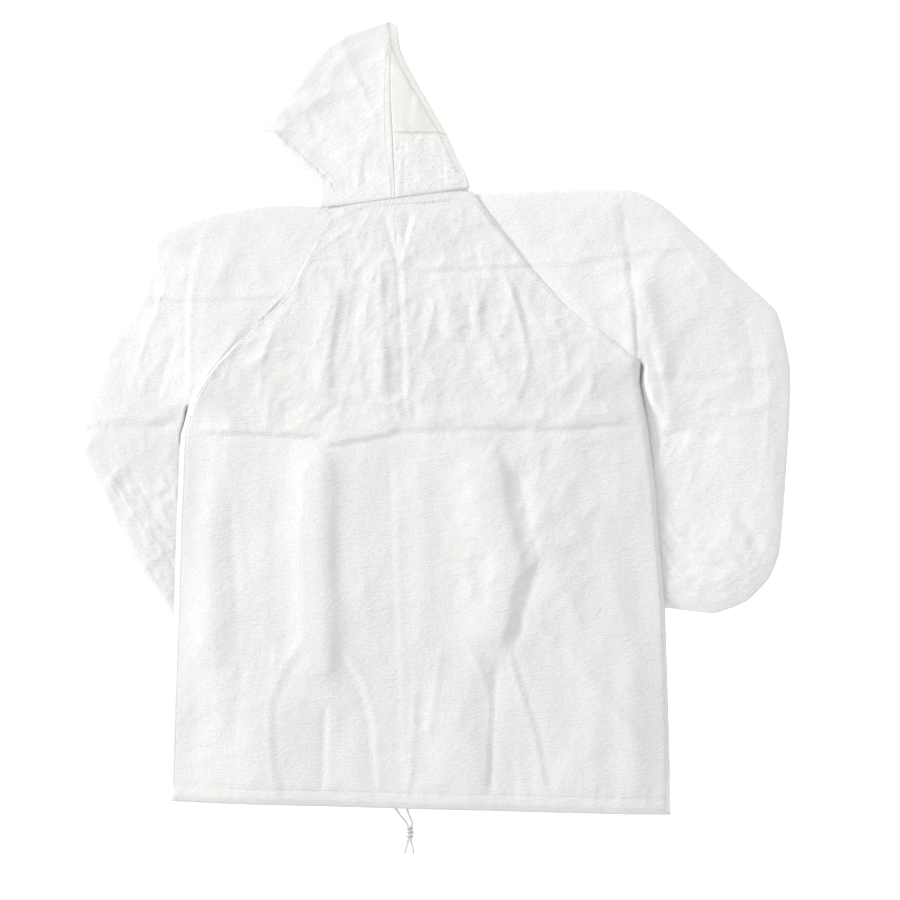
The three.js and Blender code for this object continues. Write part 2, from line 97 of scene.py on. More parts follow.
def makeRoom():
    world = bpy.data.worlds.new("softRoom")
    bpy.context.scene.world = world
    world.use_nodes = True
    background = world.node_tree.nodes["Background"]
    background.inputs["Color"].default_value = (1, 1, 1, 1)
    background.inputs["Strength"].default_value = lightPlan["worldStrength"]
    for name in ("key", "fill", "rear"):
        makeAreaLight(name + "Light", **lightPlan[name])
    bm = bmesh.new()
    bmesh.ops.create_grid(bm, x_segments=1, y_segments=1, size=lightPlan["tableReach"])
    bmesh.ops.translate(bm, verts=bm.verts, vec=(0, 0, lightPlan["tableHeight"]))
    mesh = finishMesh("tableTop", bm)
    table = bpy.data.objects.new("tableTop", mesh)
    bpy.context.scene.collection.objects.link(table)
    material = bpy.data.materials.new("paleTable")
    material.use_nodes = True
    shader = material.node_tree.nodes["Principled BSDF"]
    shader.inputs["Base Color"].default_value = (0.94, 0.94, 0.94, 1)
    shader.inputs["Roughness"].default_value = 0.9
    shader.inputs["Emission Color"].default_value = (1, 1, 1, 1)
    shader.inputs["Emission Strength"].default_value = lightPlan["floorGlow"]
    mesh.materials.append(material)


makeCamera()
makeRoom()
print("camera, light and table ready")


# Materials. Cloth patterns follow each piece's own UV map, which is in metres.
def startMaterial(name, roughness=0.8, metallic=0.0):
    material = bpy.data.materials.new(name)
    material.use_nodes = True
    shader = material.node_tree.nodes["Principled BSDF"]
    shader.inputs["Roughness"].default_value = roughness
    shader.inputs["Metallic"].default_value = metallic
    return material, material.node_tree.nodes, material.node_tree.links, shader


def addMapping(nodes, links, vector, stretch, turn):
    mapping = nodes.new("ShaderNodeMapping")
    mapping.inputs["Scale"].default_value = stretch
    mapping.inputs["Rotation"].default_value = (0, 0, turn)
    links.new(vector, mapping.inputs["Vector"])
    return mapping.outputs["Vector"]


def addNoise(nodes, links, vector, scale, detail=3.0, stretch=(1, 1, 1), turn=0.0, distortion=0.0):
    noise = nodes.new("ShaderNodeTexNoise")
    noise.inputs["Scale"].default_value = scale
    noise.inputs["Detail"].default_value = detail
    noise.inputs["Distortion"].default_value = distortion
    links.new(addMapping(nodes, links, vector, stretch, turn), noise.inputs["Vector"])
    return noise.outputs["Fac"]


def addWave(nodes, links, vector, scale, direction, turn=0.0):
    wave = nodes.new("ShaderNodeTexWave")
    wave.bands_direction = direction
    wave.inputs["Scale"].default_value = 1
    links.new(addMapping(nodes, links, vector, (scale, scale, scale), turn), wave.inputs["Vector"])
    return wave.outputs["Fac"]


# Adds share times a to b.
def combine(nodes, links, a, b, share):
    joined = nodes.new("ShaderNodeMath")
    joined.operation = "MULTIPLY_ADD"
    links.new(a, joined.inputs[0])
    joined.inputs[1].default_value = share
    links.new(b, joined.inputs[2])
    return joined.outputs[0]


def addRamp(nodes, links, value, stops):
    ramp = nodes.new("ShaderNodeValToRGB")
    links.new(value, ramp.inputs["Fac"])
    while len(ramp.color_ramp.elements) < len(stops):
        ramp.color_ramp.elements.new(0.5)
    for element, (place, colour) in zip(ramp.color_ramp.elements, stops):
        element.position = place
        element.color = (*colour, 1)
    return ramp.outputs["Color"]


def addRange(nodes, links, value, low, high):
    spread = nodes.new("ShaderNodeMapRange")
    links.new(value, spread.inputs["Value"])
    spread.inputs["To Min"].default_value = low
    spread.inputs["To Max"].default_value = high
    return spread.outputs["Result"]


def addBump(nodes, links, height, shader, strength, distance):
    bump = nodes.new("ShaderNodeBump")
    bump.inputs["Strength"].default_value = strength
    bump.inputs["Distance"].default_value = distance
    links.new(height, bump.inputs["Height"])
    links.new(bump.outputs["Normal"], shader.inputs["Normal"])


# Colour by shade, through the stops, and roughness from low to high by wear.
def addLook(nodes, links, shader, shade, stops, wear, low, high):
    links.new(addRamp(nodes, links, shade, stops), shader.inputs["Base Color"])
    links.new(addRange(nodes, links, wear, low, high), shader.inputs["Roughness"])


crepePlan = {
    "ripplesPerMetre": (95, 330, 1),
    "crinklesPerMetre": 120,
    "weavePerMetre": (290, 330),
    "weaveShare": 0.035,
    "rippleShare": 0.6,
    "shadeTintPatchesPerMetre": 5,
    "roughness": (0.72, 0.95),
    "sheen": 0.22,
}


# Crepe-finished cotton: ripples, finer crinkles and the weave. Its colour carries painted shade: darker and cooler
# in the ripples' troughs and in random patches standing in for the tint of shadows, lighter and warmer elsewhere.
def makeCrepe(name, warm, cool, ripple=0.0015, turn=0.0):
    material, nodes, links, shader = startMaterial(name)
    uv = nodes.new("ShaderNodeTexCoord").outputs["UV"]
    ripples = addNoise(nodes, links, uv, 1, 3, crepePlan["ripplesPerMetre"], turn, 0.9)
    crinkle = addNoise(nodes, links, uv, crepePlan["crinklesPerMetre"], 4, (1, 1, 1), turn, 1.5)
    across, along = (addWave(nodes, links, uv, count, way)
                     for count, way in zip(crepePlan["weavePerMetre"], "XY"))
    weave = combine(nodes, links, across, along, 1.0)
    height = combine(nodes, links, crinkle, ripples, crepePlan["rippleShare"])
    height = combine(nodes, links, weave, height, crepePlan["weaveShare"])
    addBump(nodes, links, height, shader, 0.75, ripple)
    # painted shade: random patches and the ripples' troughs turn the colour cooler and darker, for the tint of
    # shadows
    shadeTintPatches = addNoise(nodes, links, uv, crepePlan["shadeTintPatchesPerMetre"], 3, (1, 1, 1), 0, 0.4)
    shade = combine(nodes, links, ripples, shadeTintPatches, 0.25)
    stops = [(0.48, cool), (0.76, warm)]
    addLook(nodes, links, shader, shade, stops, crinkle, *crepePlan["roughness"])
    shader.inputs["Sheen Weight"].default_value = crepePlan["sheen"]
    shader.inputs["Sheen Roughness"].default_value = 0.45
    shader.inputs["Specular IOR Level"].default_value = 0.3
    return material


# Plain woven threads, pitch metres apart
def makeWeave(name, light, dark, pitch, bump=0.0003, roughness=0.8):
    material, nodes, links, shader = startMaterial(name, roughness)
    uv = nodes.new("ShaderNodeTexCoord").outputs["UV"]
    scale = 0.314 / pitch  # a wave node's band repeats every tenth of a turn
    across = addWave(nodes, links, uv, scale, "X")
    along = addWave(nodes, links, uv, scale, "Y")
    wear = addNoise(nodes, links, uv, 60, 4)
    height = combine(nodes, links, across, along, 1.0)
    shade = combine(nodes, links, height, wear, 0.3)
    stops = [(0.35, dark), (0.95, light)]
    addLook(nodes, links, shader, shade, stops, wear, roughness - 0.1, roughness + 0.1)
    addBump(nodes, links, height, shader, 0.8, bump)
    shader.inputs["Sheen Weight"].default_value = 0.15
    return material


# Two sets of slanting strands with fuzz over them
def makeBraid(name, light, dark):
    material, nodes, links, shader = startMaterial(name, 0.85)
    point = nodes.new("ShaderNodeTexCoord").outputs["Object"]
    one, two = (addWave(nodes, links, point, 260, "DIAGONAL", turn) for turn in (0.3, 1.9))
    fuzz = addNoise(nodes, links, point, 900, 4)
    height = combine(nodes, links, one, two, 1.0)
    height = combine(nodes, links, fuzz, height, 0.6)
    addLook(nodes, links, shader, height, [(0.3, dark), (1.0, light)], fuzz, 0.75, 0.95)
    addBump(nodes, links, height, shader, 0.8, 0.0004)
    shader.inputs["Sheen Weight"].default_value = 0.25
    return material


# Moulded plastic or cast metal, with fine wear and long scratches
def makeHard(name, light, dark, roughness, metallic):
    material, nodes, links, shader = startMaterial(name, roughness, metallic)
    point = nodes.new("ShaderNodeTexCoord").outputs["Object"]
    wear = addNoise(nodes, links, point, 320, 5)
    scratches = addNoise(nodes, links, point, 60, 5, (1, 9, 4), 0.5)
    stops = [(0.3, dark), (0.7, light)]
    addLook(nodes, links, shader, wear, stops, scratches, roughness * 0.6, roughness * 1.5)
    addBump(nodes, links, scratches, shader, 0.25, 0.0002)
    return material


bodyCloth = makeCrepe("bodyCrepe", (0.89, 0.884, 0.868), (0.856, 0.86, 0.868))
# Lit and shaded copies of one cloth: the left sleeve, which faces the key light, is painted darker (painted shade),
# and the right sleeve, which lies in shade, is painted lighter (painted light).
paintedLightSleeveCloth = {
    "left": makeCrepe("leftSleeveCrepePaintedShade", (0.886, 0.88, 0.864), (0.85, 0.854, 0.856), 0.0015, 0.5),
    "right": makeCrepe("rightSleeveCrepePaintedLight", (0.938, 0.938, 0.924), (0.904, 0.914, 0.917), 0.0015, 0.5),
}
hoodCloth = makeCrepe("hoodCrepe", (0.95, 0.946, 0.93), (0.915, 0.915, 0.912), 0.0012, -0.4)
bandCloth = makeCrepe("neckBandCrepe", (0.945, 0.94, 0.925), (0.91, 0.91, 0.912), 0.0024, math.pi / 2)
# painted shade: the hood's back panel gets a darker cream cloth for a facet turned away from the light
creamPaintedShadeCloth = makeCrepe("creamPaintedShadeCloth", (0.885, 0.876, 0.825), (0.855, 0.846, 0.80), 0.0003, 0.2)
insideCloth = makeCrepe("insideCrepe", (0.84, 0.835, 0.81), (0.79, 0.79, 0.79), 0.0009)
tapeWeave = makeWeave("zipTapeWeave", (0.88, 0.88, 0.86), (0.76, 0.76, 0.75), 0.0011)
elasticWeave = makeWeave("elasticWeave", (0.86, 0.85, 0.81), (0.66, 0.65, 0.61), 0.0016, 0.0005)
netWeave = makeWeave("veilNet", (0.035, 0.035, 0.038), (0.012, 0.012, 0.013), 0.0013, 0.0004, 0.65)
threadWeave = makeBraid("sewingThread", (0.93, 0.925, 0.90), (0.80, 0.795, 0.77))
cordBraid = makeBraid("cordBraid", (0.88, 0.875, 0.86), (0.52, 0.52, 0.52))
toothPlastic = makeHard("toothPlastic", (0.86, 0.86, 0.84), (0.78, 0.78, 0.76), 0.4, 0.0)
zincMetal = makeHard("zincMetal", (0.70, 0.71, 0.72), (0.52, 0.53, 0.54), 0.32, 1.0)
print("materials ready")


# Small maths for laying cloth. Everything is in millimetres until a mesh is made.
def smooth(low, high, x):
    t = np.clip((x - low) / (high - low), 0, 1)
    return t * t * (3 - 2 * t)


def mix(a, b, t):
    return a + (b - a) * t


# A smooth line through evenly counted points, for t from 0 to 1.
def through(points, t):
    points = np.array(points, float)
    padded = np.vstack([2 * points[0] - points[1], points, 2 * points[-1] - points[-2]])
    k = np.clip(t, 0, 1) * (len(points) - 1)
    i = np.minimum(k.astype(int), len(points) - 2)
    s = (k - i)[:, None]
    a, b, c, d = (padded[i + n] for n in range(4))
    return 0.5 * (2 * b + (c - a) * s + (2 * a - 5 * b + 4 * c - d) * s**2
                  + (3 * b - a - 3 * c + d) * s**3)


# How far along the line each point lies.
def stepsOf(points):
    gaps = np.linalg.norm(np.diff(np.array(points, float), axis=0), axis=1)
    return np.concatenate([[0], np.cumsum(gaps)])


# A point on straight runs between the points, for t from 0 to 1 along its length.
def byLength(points, t):
    travelled = stepsOf(points)
    points = np.array(points, float)
    at = np.clip(t, 0, 1) * travelled[-1]
    return np.stack([np.interp(at, travelled, points[:, i]) for i in range(points.shape[1])], 1)


# Smooth noise from 0 to 1 on a lattice of cells.
def lattice(x, y, cell, seed):
    size, shift = 97, 400.5
    table = np.random.default_rng(seed).random((size, size))
    gx, gy = x / cell + shift, y / cell + shift
    i, j = np.floor(gx).astype(int), np.floor(gy).astype(int)
    s, t = gx - i, gy - j
    s, t = s * s * (3 - 2 * s), t * t * (3 - 2 * t)
    i, j, i1, j1 = i % size, j % size, (i + 1) % size, (j + 1) % size
    return mix(mix(table[i, j], table[i1, j], s), mix(table[i, j1], table[i1, j1], s), t)


def ridged(x, y, cell, seed):
    return 1 - np.abs(2 * lattice(x, y, cell, seed) - 1)


# Sharp little folds at three sizes, about -0.5 to 0.5, longer along the turned direction.
def crumple(x, y, cell, seed, turn=0.0, stretch=1.0):
    c, s = math.cos(turn), math.sin(turn)
    along, across = x * c + y * s, (y * c - x * s) * stretch
    bend = cell * 0.9
    warpX = along + bend * (lattice(x, y, cell * 1.6, seed + 1) - 0.5)
    warpY = across + bend * (lattice(x, y, cell * 1.6, seed + 2) - 0.5)
    big = ridged(warpX, warpY, cell, seed + 3) ** 1.6
    middle = ridged(warpX, warpY, cell * 0.52, seed + 4) ** 1.4
    small = ridged(warpX, warpY, cell * 0.27, seed + 5)
    return (big - 0.4) + 0.5 * (middle - 0.45) + 0.25 * (small - 0.5)


# Runs round a flattened tube, u from 0 to 1: whether the point is on top, how far across it lies
# from -1 to 1, and how full the tube is there.
def aroundTube(u, power=4.0):
    onTop = u < 0.5
    q = np.where(onTop, 4 * u - 1, 3 - 4 * u)
    a = mix(q, np.sin(q * math.pi / 2), 0.62)
    return onTop, a, np.clip(1 - np.abs(a) ** power, 0, 1) ** (1 / power)


foldStrength = 0.85


# Folds: ("kind", height, width, [points]). A step stands up on the left of its direction of travel,
# and a drape is a ridge that falls off steeply on its left.
def strokeHeight(x, y, kind, height, width, path):
    best = np.full(x.shape, 1e9)
    side = np.zeros(x.shape)
    travel = np.zeros(x.shape)
    starts = stepsOf(path)
    for (ax, ay), (bx, by), start in zip(path[:-1], path[1:], starts):
        dx, dy = bx - ax, by - ay
        size = math.hypot(dx, dy)
        t = np.clip(((x - ax) * dx + (y - ay) * dy) / size**2, 0, 1)
        offX, offY = x - ax - t * dx, y - ay - t * dy
        away = np.hypot(offX, offY)
        nearer = away < best
        best = np.where(nearer, away, best)
        side = np.where(nearer, np.sign(dx * offY - dy * offX), side)
        travel = np.where(nearer, start + t * size, travel)
    share = travel / starts[-1]
    fade = smooth(-0.02, 0.14, share) * (1 - smooth(0.86, 1.02, share))
    wander = 0.75 + 0.5 * lattice(travel, travel * 0, 34, 7)
    if kind == "ridge":
        shape = np.exp(-((best / width) ** 2))
    elif kind == "fin":
        shape = np.exp(-best / width)
    elif kind == "crease":
        shape = -np.exp(-best / width)
    elif kind == "drape":
        shape = np.exp(-((best / np.where(side > 0, width * 0.75, width * 2.0)) ** 2))
    else:
        shape = (0.5 + 0.5 * np.tanh(side * best / 1.6)) * np.exp(-best / width)
    return foldStrength * height * wander * fade * shape


def foldHeight(x, y, folds):
    total = np.zeros(x.shape)
    for kind, height, width, path in folds:
        xs, ys = [p[0] for p in path], [p[1] for p in path]
        reach = width * 5 + 6
        near = (x > min(xs) - reach) & (x < max(xs) + reach)
        near &= (y > min(ys) - reach) & (y < max(ys) + reach)
        if near.any():
            total[near] += strokeHeight(x[near], y[near], kind, height, width, path)
    return total


# Pressed creases and drapes that run over the back, the sleeves and the shoulders alike
jacketFolds = [
    # across the chest, where the jacket was folded in the packet
    ("step", 3.2, 16, [(-310, -14), (-230, -16), (-148, -20), (-135, -31)]),
    ("step", 4.5, 18, [(-148, -22), (-135, -31), (-90, -24), (-44, -14)]),
    ("crease", 2.6, 5, [(-310, -15), (-148, -21), (-135, -32), (-44, -15), (60, -10), (164, -12), (288, 1)]),
    ("step", 2.6, 14, [(-44, -14), (60, -9), (164, -11), (288, 2)]),
    ("ridge", 1.6, 12, [(-40, 2), (60, 6), (170, 4), (280, 18)]),
    # across the shoulders
    ("fin", 2.2, 4, [(-395, 158), (-300, 160), (-187, 164)]),
    ("crease", 1.8, 4, [(-392, 153), (-300, 154), (-190, 158)]),
    ("fin", 1.9, 4, [(-44, 197), (86, 203), (177, 206), (249, 220), (359, 227)]),
    ("crease", 1.6, 5, [(-44, 191), (86, 197), (177, 200), (249, 213), (355, 220)]),
    ("fin", 1.4, 5, [(268, 60), (372, 64), (463, 80)]),
    ("crease", 1.2, 5, [(268, 54), (372, 57), (460, 72)]),
    # down the centre of the back
    ("fin", 1.3, 5, [(-43, 281), (-38, 180), (-33, 80), (-31, -11)]),
    ("crease", 1.6, 5, [(-50, 280), (-46, 180), (-41, 80), (-39, -11)]),
    ("fin", 1.0, 6, [(-50, -11), (-45, -200), (-40, -340), (-37, -492)]),
    ("crease", 0.8, 7, [(-57, -20), (-53, -200), (-48, -340), (-45, -488)]),
    # beside the two sleeves
    ("fin", 1.8, 4, [(-297, 262), (-314, 158), (-317, 28)]),
    ("crease", 1.6, 5, [(-304, 262), (-321, 158), (-324, 28)]),
    ("fin", 1.4, 5, [(-317, 28), (-326, -110), (-333, -232)]),
    ("ridge", 6.5, 56, [(-322, 0), (-314, 60), (-308, 130), (-302, 215)]),
    ("step", 3.0, 12, [(262, 67), (258, 140), (249, 210), (236, 294)]),
    ("crease", 2.0, 5, [(238, 292), (251, 210), (260, 140), (264, 67)]),
    # long drapes below the chest
    ("drape", 10.5, 20, [(-146, -26), (-146, -130), (-143, -240), (-141, -349)]),
    ("drape", 8.5, 18, [(75, -28), (88, -128), (104, -185), (90, -250), (84, -300)]),
    ("crease", 3.0, 9, [(108, -60), (120, -120), (136, -178), (116, -240), (104, -300)]),
    ("crease", 2.2, 6, [(-141, -362), (-143, -430), (-145, -492)]),
    ("fin", 1.2, 5, [(-133, -360), (-136, -430), (-137, -490)]),
    ("fin", 1.5, 5, [(-160, -270), (-190, -310), (-213, -362), (-212, -420), (-206, -479)]),
    ("crease", 1.3, 9, [(-150, -280), (-182, -320), (-203, -365), (-203, -420), (-197, -479)]),
    ("fin", 1.3, 5, [(-120, -285), (-92, -330), (-76, -388), (-72, -440), (-70, -492)]),
    ("crease", 1.6, 7, [(-128, -295), (-100, -338), (-85, -390), (-80, -440), (-79, -490)]),
    ("fin", 1.8, 5, [(35, -270), (60, -320), (73, -362), (71, -420), (67, -479)]),
    ("crease", 4.6, 11, [(82, -300), (76, -380), (74, -430), (73, -492)]),
    ("fin", 1.7, 4, [(93, -284), (112, -350), (132, -414), (145, -492)]),
    ("crease", 1.8, 6, [(101, -290), (120, -352), (140, -414), (152, -488)]),
    ("fin", 2.0, 5, [(-24, -336), (-27, -410), (-31, -479)]),
    ("fin", 1.8, 5, [(10, -290), (2, -350), (-8, -410)]),
    ("ridge", 1.8, 9, [(164, -284), (210, -345), (268, -414)]),
    ("ridge", 2.2, 20, [(200, -260), (205, -380), (215, -490)]),
    ("ridge", 2.0, 14, [(252, -300), (258, -400), (262, -500)]),
    ("ridge", 2.2, 16, [(-290, -60), (-286, -200), (-292, -330)]),
    ("crease", 1.6, 12, [(-262, -80), (-258, -200), (-250, -330), (-262, -440)]),
    ("ridge", 2.2, 18, [(-225, -60), (-215, -180), (-222, -300)]),
    ("ridge", 1.8, 16, [(-20, -40), (-12, -170), (-18, -300)]),
    # small drapes between the shoulders and the chest
    ("drape", 2.6, 9, [(-122, 184), (-134, 110), (-141, 28)]),
    ("drape", 2.2, 8, [(-70, 203), (-66, 110), (-63, 28)]),
    ("fin", 1.6, 5, [(-95, 150), (-98, 90), (-92, 30)]),
    ("fin", 2.0, 5, [(2, 158), (-6, 120), (-18, 80)]),
    ("drape", 2.4, 8, [(54, 197), (56, 150), (60, 119), (84, 70), (112, 28)]),
    ("fin", 2.0, 4, [(93, 190), (112, 130), (121, 84), (119, 54), (104, 22)]),
    ("crease", 1.6, 5, [(101, 190), (120, 130), (129, 84), (127, 54)]),
    ("crease", 2.2, 6, [(-8, 150), (10, 110), (34, 92), (48, 120), (46, 160)]),
    ("ridge", 2.0, 12, [(20, 172), (24, 130), (22, 100)]),
    ("crease", 2.4, 6, [(-92, 52), (-70, 34), (-42, 36), (-24, 20), (-22, -6)]),
    ("fin", 2.2, 5, [(-108, 44), (-76, 24), (-50, 22), (-36, 4)]),
    ("crease", 2.0, 5, [(-150, 2), (-120, 22), (-86, 18), (-60, 2)]),
    ("fin", 1.4, 5, [(150, 150), (170, 90), (176, 30)]),
    ("fin", 1.4, 5, [(200, 100), (206, 60), (200, 20)]),
    ("fin", 1.4, 5, [(-200, 140), (-222, 80), (-226, 20)]),
    ("fin", 1.3, 5, [(-260, 90), (-272, 50), (-270, 10)]),
    ("fin", 1.7, 3.5, [(47, 288), (84, 245), (122, 198), (160, 158), (212, 116), (262, 76)]),
    ("crease", 1.0, 3, [(54, 289), (91, 247), (129, 201), (167, 161), (218, 120)]),
    # the pucker under the middle of the neck
    ("crease", 1.5, 4, [(-66, 272), (-56, 236), (-46, 200)]),
    ("fin", 1.2, 4, [(-20, 274), (-32, 234), (-44, 196)]),
    ("fin", 1.0, 5, [(-57, 272), (-50, 240), (-45, 206)]),
    ("crease", 1.8, 5, [(-31, 272), (-38, 236), (-44, 206)]),
    # the sleeves
    ("crease", 3.0, 6, [(-462, -12), (-420, -6), (-372, -8), (-334, -2)]),
    ("fin", 2.2, 5, [(-460, -4), (-418, 2), (-374, 1), (-334, 6)]),
    ("fin", 1.4, 5, [(-340, 200), (-372, 110), (-398, 30)]),
    ("crease", 1.4, 6, [(-330, 120), (-352, 60), (-362, 10)]),
    ("fin", 1.6, 5, [(-424, -60), (-392, -118), (-362, -170)]),
    ("crease", 1.6, 6, [(-400, -50), (-372, -104), (-346, -150)]),
    ("drape", 7.0, 20, [(262, 200), (286, 120), (298, 40), (306, -20)]),
    ("crease", 4.0, 14, [(276, 110), (296, 40), (300, -30)]),
    ("fin", 1.6, 5, [(300, 30), (340, 10), (390, 12), (450, 24)]),
    ("crease", 2.2, 7, [(300, -20), (330, -10), (372, -22)]),
    ("fin", 1.5, 5, [(318, 240), (352, 190), (392, 150)]),
    ("crease", 1.3, 6, [(390, 180), (410, 100), (418, 10)]),
    ("fin", 1.4, 6, [(430, 120), (436, 40), (430, -60)]),
    ("fin", 2.0, 5, [(300, -130), (330, -160), (372, -170), (420, -190)]),
    ("crease", 2.0, 5, [(296, -160), (330, -184), (376, -190), (410, -214)]),
    ("fin", 1.8, 4, [(304, -196), (336, -206), (372, -226)]),
    ("fin", 1.8, 4, [(380, -120), (404, -160), (416, -206)]),
    ("crease", 1.8, 5, [(392, -110), (416, -150), (430, -190)]),
]

# The outline of the body, laid flat
bodyPlan = {
    "leftSide": [(-346, -493), (-342, -367), (-337, -237), (-334, -133), (-329, -16), (-317, 23)],
    "leftRaglan": [(-317, 23), (-303, 48), (-284, 73), (-236, 123), (-187, 171), (-171, 202), (-129, 277)],
    "rightSide": [(308, -511), (304, -367), (300, -237), (287, -81), (280, -16), (268, 49), (268, 78)],
    "rightRaglan": [(268, 78), (216, 121), (164, 164), (125, 203), (86, 252), (49, 299)],
    "armpit": 0.66,  # share of the rows that lie below the armpits
    "crown": 27.0,
    "neckCrown": 21.8,
    "frontRest": 7.5,
    "frontLift": 13.5,
    "cloth": 1.2,
    "tallest": 34.0,  # folds above this are pressed flatter
    "sideRoll": 9,  # width of the turn at the side seams
    "sideDrop": 6,  # how far the sides sink below the crown, over a width of sideSlope
    "sideSlope": 70,
    "hemSeam": 21,  # the casing's stitch line above the hem
    "hemTurn": 5.2,
}


# The hem's height on the page at x.
def hemAt(x):
    (leftX, leftY), (rightX, rightY) = bodyPlan["leftSide"][0], bodyPlan["rightSide"][0]
    return leftY + (rightY - leftY) * (x - leftX) / (rightX - leftX)


# Underside of the fronts, which ride over the tucked forearms.
def frontUnder(x, y):
    leftReach = np.hypot(x + 463, y + 29)  # from the outside of the left elbow
    leftCover = (1 - smooth(400, 425, leftReach)) * (1 - smooth(-205, -165, x))
    leftCover = leftCover * (1 - smooth(-51, -4, y))
    rightReach = np.hypot(x - 450, y + 172)  # and of the right one
    rightCover = (1 - smooth(372, 395, rightReach)) * smooth(55, 98, x) * (1 - smooth(-82, -22, y))
    aboveHem = smooth(hemAt(x) + 42, hemAt(x) + 57, y)
    lift = bodyPlan["frontLift"] - bodyPlan["frontRest"]
    return bodyPlan["frontRest"] + lift * aboveHem * np.maximum(leftCover, rightCover)


# The side seam below the armpit, then the raglan seam, for v from 0 at the hem to 1 at the neck.
def bodyEdge(side, v):
    share = bodyPlan["armpit"]
    low = byLength(bodyPlan[side + "Side"], v / share)
    high = byLength(bodyPlan[side + "Raglan"], (v - share) / (1 - share))
    return np.where((v < share)[:, None], low, high)


# Crinkles of the back: crosswise ones everywhere, livelier above the chest crease.
def bodyWrinkles(x, y):
    upper = smooth(-40, 10, y)
    lower = 1 - upper
    chest = crumple(x, y, 62, 11, 1.25, 1.5) * 2.0 + crumple(x, y, 26, 21, 0.2, 1.3) * 1.05
    skirt = crumple(x, y, 120, 31, 1.5, 2.0) * 1.3 + crumple(x, y, 40, 41, 0.1, 1.6) * 0.5
    crinkled = smooth(120, 70, np.hypot(x - 118, (y + 150) * 0.7))  # beside the right-hand drape
    swell = mix(4.6, 6.6, lower) * (lattice(x, y * 0.5, 86, 77) - 0.5)
    swell = swell + 2.6 * (lattice(x, y * 0.6, 41, 79) - 0.5)
    return swell + upper * chest + lower * (skirt + 2.0 * crinkled * crumple(x, y, 44, 51, 0.9, 1.2))


def crownAt(y):
    return mix(bodyPlan["crown"], bodyPlan["neckCrown"], smooth(100, 265, y))


# Top of the back panel. toSide is the distance to the nearer side edge, openEdge is 1 on the raglan.
def backTop(x, y, toSide, openEdge):
    crown = crownAt(y)
    seam = frontUnder(x, y) + 2 * bodyPlan["cloth"] + 1.2
    roll = (1 - smooth(0, bodyPlan["sideRoll"], toSide)) ** 1.4 * (1 - openEdge)
    settle = smooth(0, 1, toSide / mix(40, 7, openEdge)) * (1 - smooth(262, 290, y))
    slope = 1 - smooth(0, bodyPlan["sideSlope"], toSide)
    crown = crown - bodyPlan["sideDrop"] * slope * (1 - openEdge)
    casing = y - hemAt(x)
    calm = mix(0.35, 1, smooth(16, 40, casing))
    folds = foldHeight(x, y, jacketFolds) * calm + bodyWrinkles(x, y) * mix(0.6, 1, calm)
    height = crown + settle * folds
    pucker = np.exp(-(((casing - 24) / 15) ** 2)) * (ridged(x, y * 0.2, 11, 61) - 0.5) * 1.1
    stitched = 1.1 * np.exp(-np.abs(casing - bodyPlan["hemSeam"]) / 1.8)
    stitched = stitched + 0.7 * np.exp(-np.abs(casing - 2) / 1.6)
    # the hem turns under, round the cord
    turned = bodyPlan["hemTurn"] * (1 - smooth(0, 8, casing)) ** 1.3
    groove = 1.2 * openEdge * (1 - smooth(0, 3, toSide)) * (x > -20)
    height = height + pucker - stitched - turned - groove
    height = np.minimum(height, mix(bodyPlan["tallest"], height, 0.45))
    return np.maximum(mix(height, seam, roll), seam)


def backShape(u, v):
    left, right = bodyEdge("left", v), bodyEdge("right", v)
    point = left + (right - left) * u[:, None]
    width = np.linalg.norm(right - left, axis=1)
    toSide = np.minimum(u, 1 - u) * width
    openEdge = smooth(bodyPlan["armpit"] - 0.04, bodyPlan["armpit"] + 0.015, v)
    x, y = point[:, 0], point[:, 1]
    return x, y, backTop(x, y, toSide, openEdge)


# A grid bent to shape(u, v). A closed one joins its first and last column into a tube.
def layGrid(name, columns, rows, shape, closed=False, faces=1, grain=0.0):
    bm = bmesh.new()
    bm.loops.layers.uv.new("clothUv")
    bmesh.ops.create_grid(bm, x_segments=columns, y_segments=rows, size=0.5, calc_uvs=True)
    mesh = bpy.data.meshes.new(name)
    bm.to_mesh(mesh)
    flat = np.empty(len(mesh.vertices) * 3, np.float32)
    mesh.vertices.foreach_get("co", flat)
    u, v = flat[0::3].astype(float) + 0.5, flat[1::3].astype(float) + 0.5
    bent = np.stack(shape(u, v), 1) * mm
    bm.verts.ensure_lookup_table()
    for vert, place in zip(bm.verts, bent):
        vert.co = place
    if closed:
        bmesh.ops.remove_doubles(bm, verts=bm.verts, dist=2e-6)
        bmesh.ops.recalc_face_normals(bm, faces=bm.faces)
    bm.normal_update()
    middle = Vector(bent.mean(0))
    if closed:
        outward = sum((f.calc_center_median() - middle).dot(f.normal) * f.calc_area() for f in bm.faces)
    else:
        outward = sum(f.normal.z * f.calc_area() for f in bm.faces) * faces
    if outward < 0:
        bmesh.ops.reverse_faces(bm, faces=bm.faces)
    uvLayer = bm.loops.layers.uv["clothUv"]  # metres along the cloth, turned to its grain
    c, s = math.cos(grain), math.sin(grain)
    for face in bm.faces:
        face.smooth = True
        for loop in face.loops:
            x, y, z = loop.vert.co
            loop[uvLayer].uv = (x * c + y * s + z, y * c - x * s + z)
    bm.to_mesh(mesh)
    bm.free()
    return mesh


# Thickness is in millimetres, and inner is the material of the wall's far side.
def makePiece(name, mesh, material, replaced=(), body=None, thickness=0.0, inner=None):
    mesh.materials.append(material)
    piece = bpy.data.objects.new(name, mesh)
    bpy.context.scene.collection.objects.link(piece)
    if thickness:
        wall = piece.modifiers.new("cloth", "SOLIDIFY")
        wall.thickness = thickness * mm
        wall.offset = -1
        if inner is not None:
            mesh.materials.append(inner)
            wall.material_offset = 1
    if replaced:
        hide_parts(*replaced)
    if body:
        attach(piece, body)
    return piece


stitchPlan = {"pitch": 3.6, "size": (2.5, 0.7, 0.5), "sink": 0.1}


def boxMatrix(place, size):
    return Matrix.Translation(Vector(place) * mm) @ Matrix.Diagonal((*(Vector(size) * mm), 1))


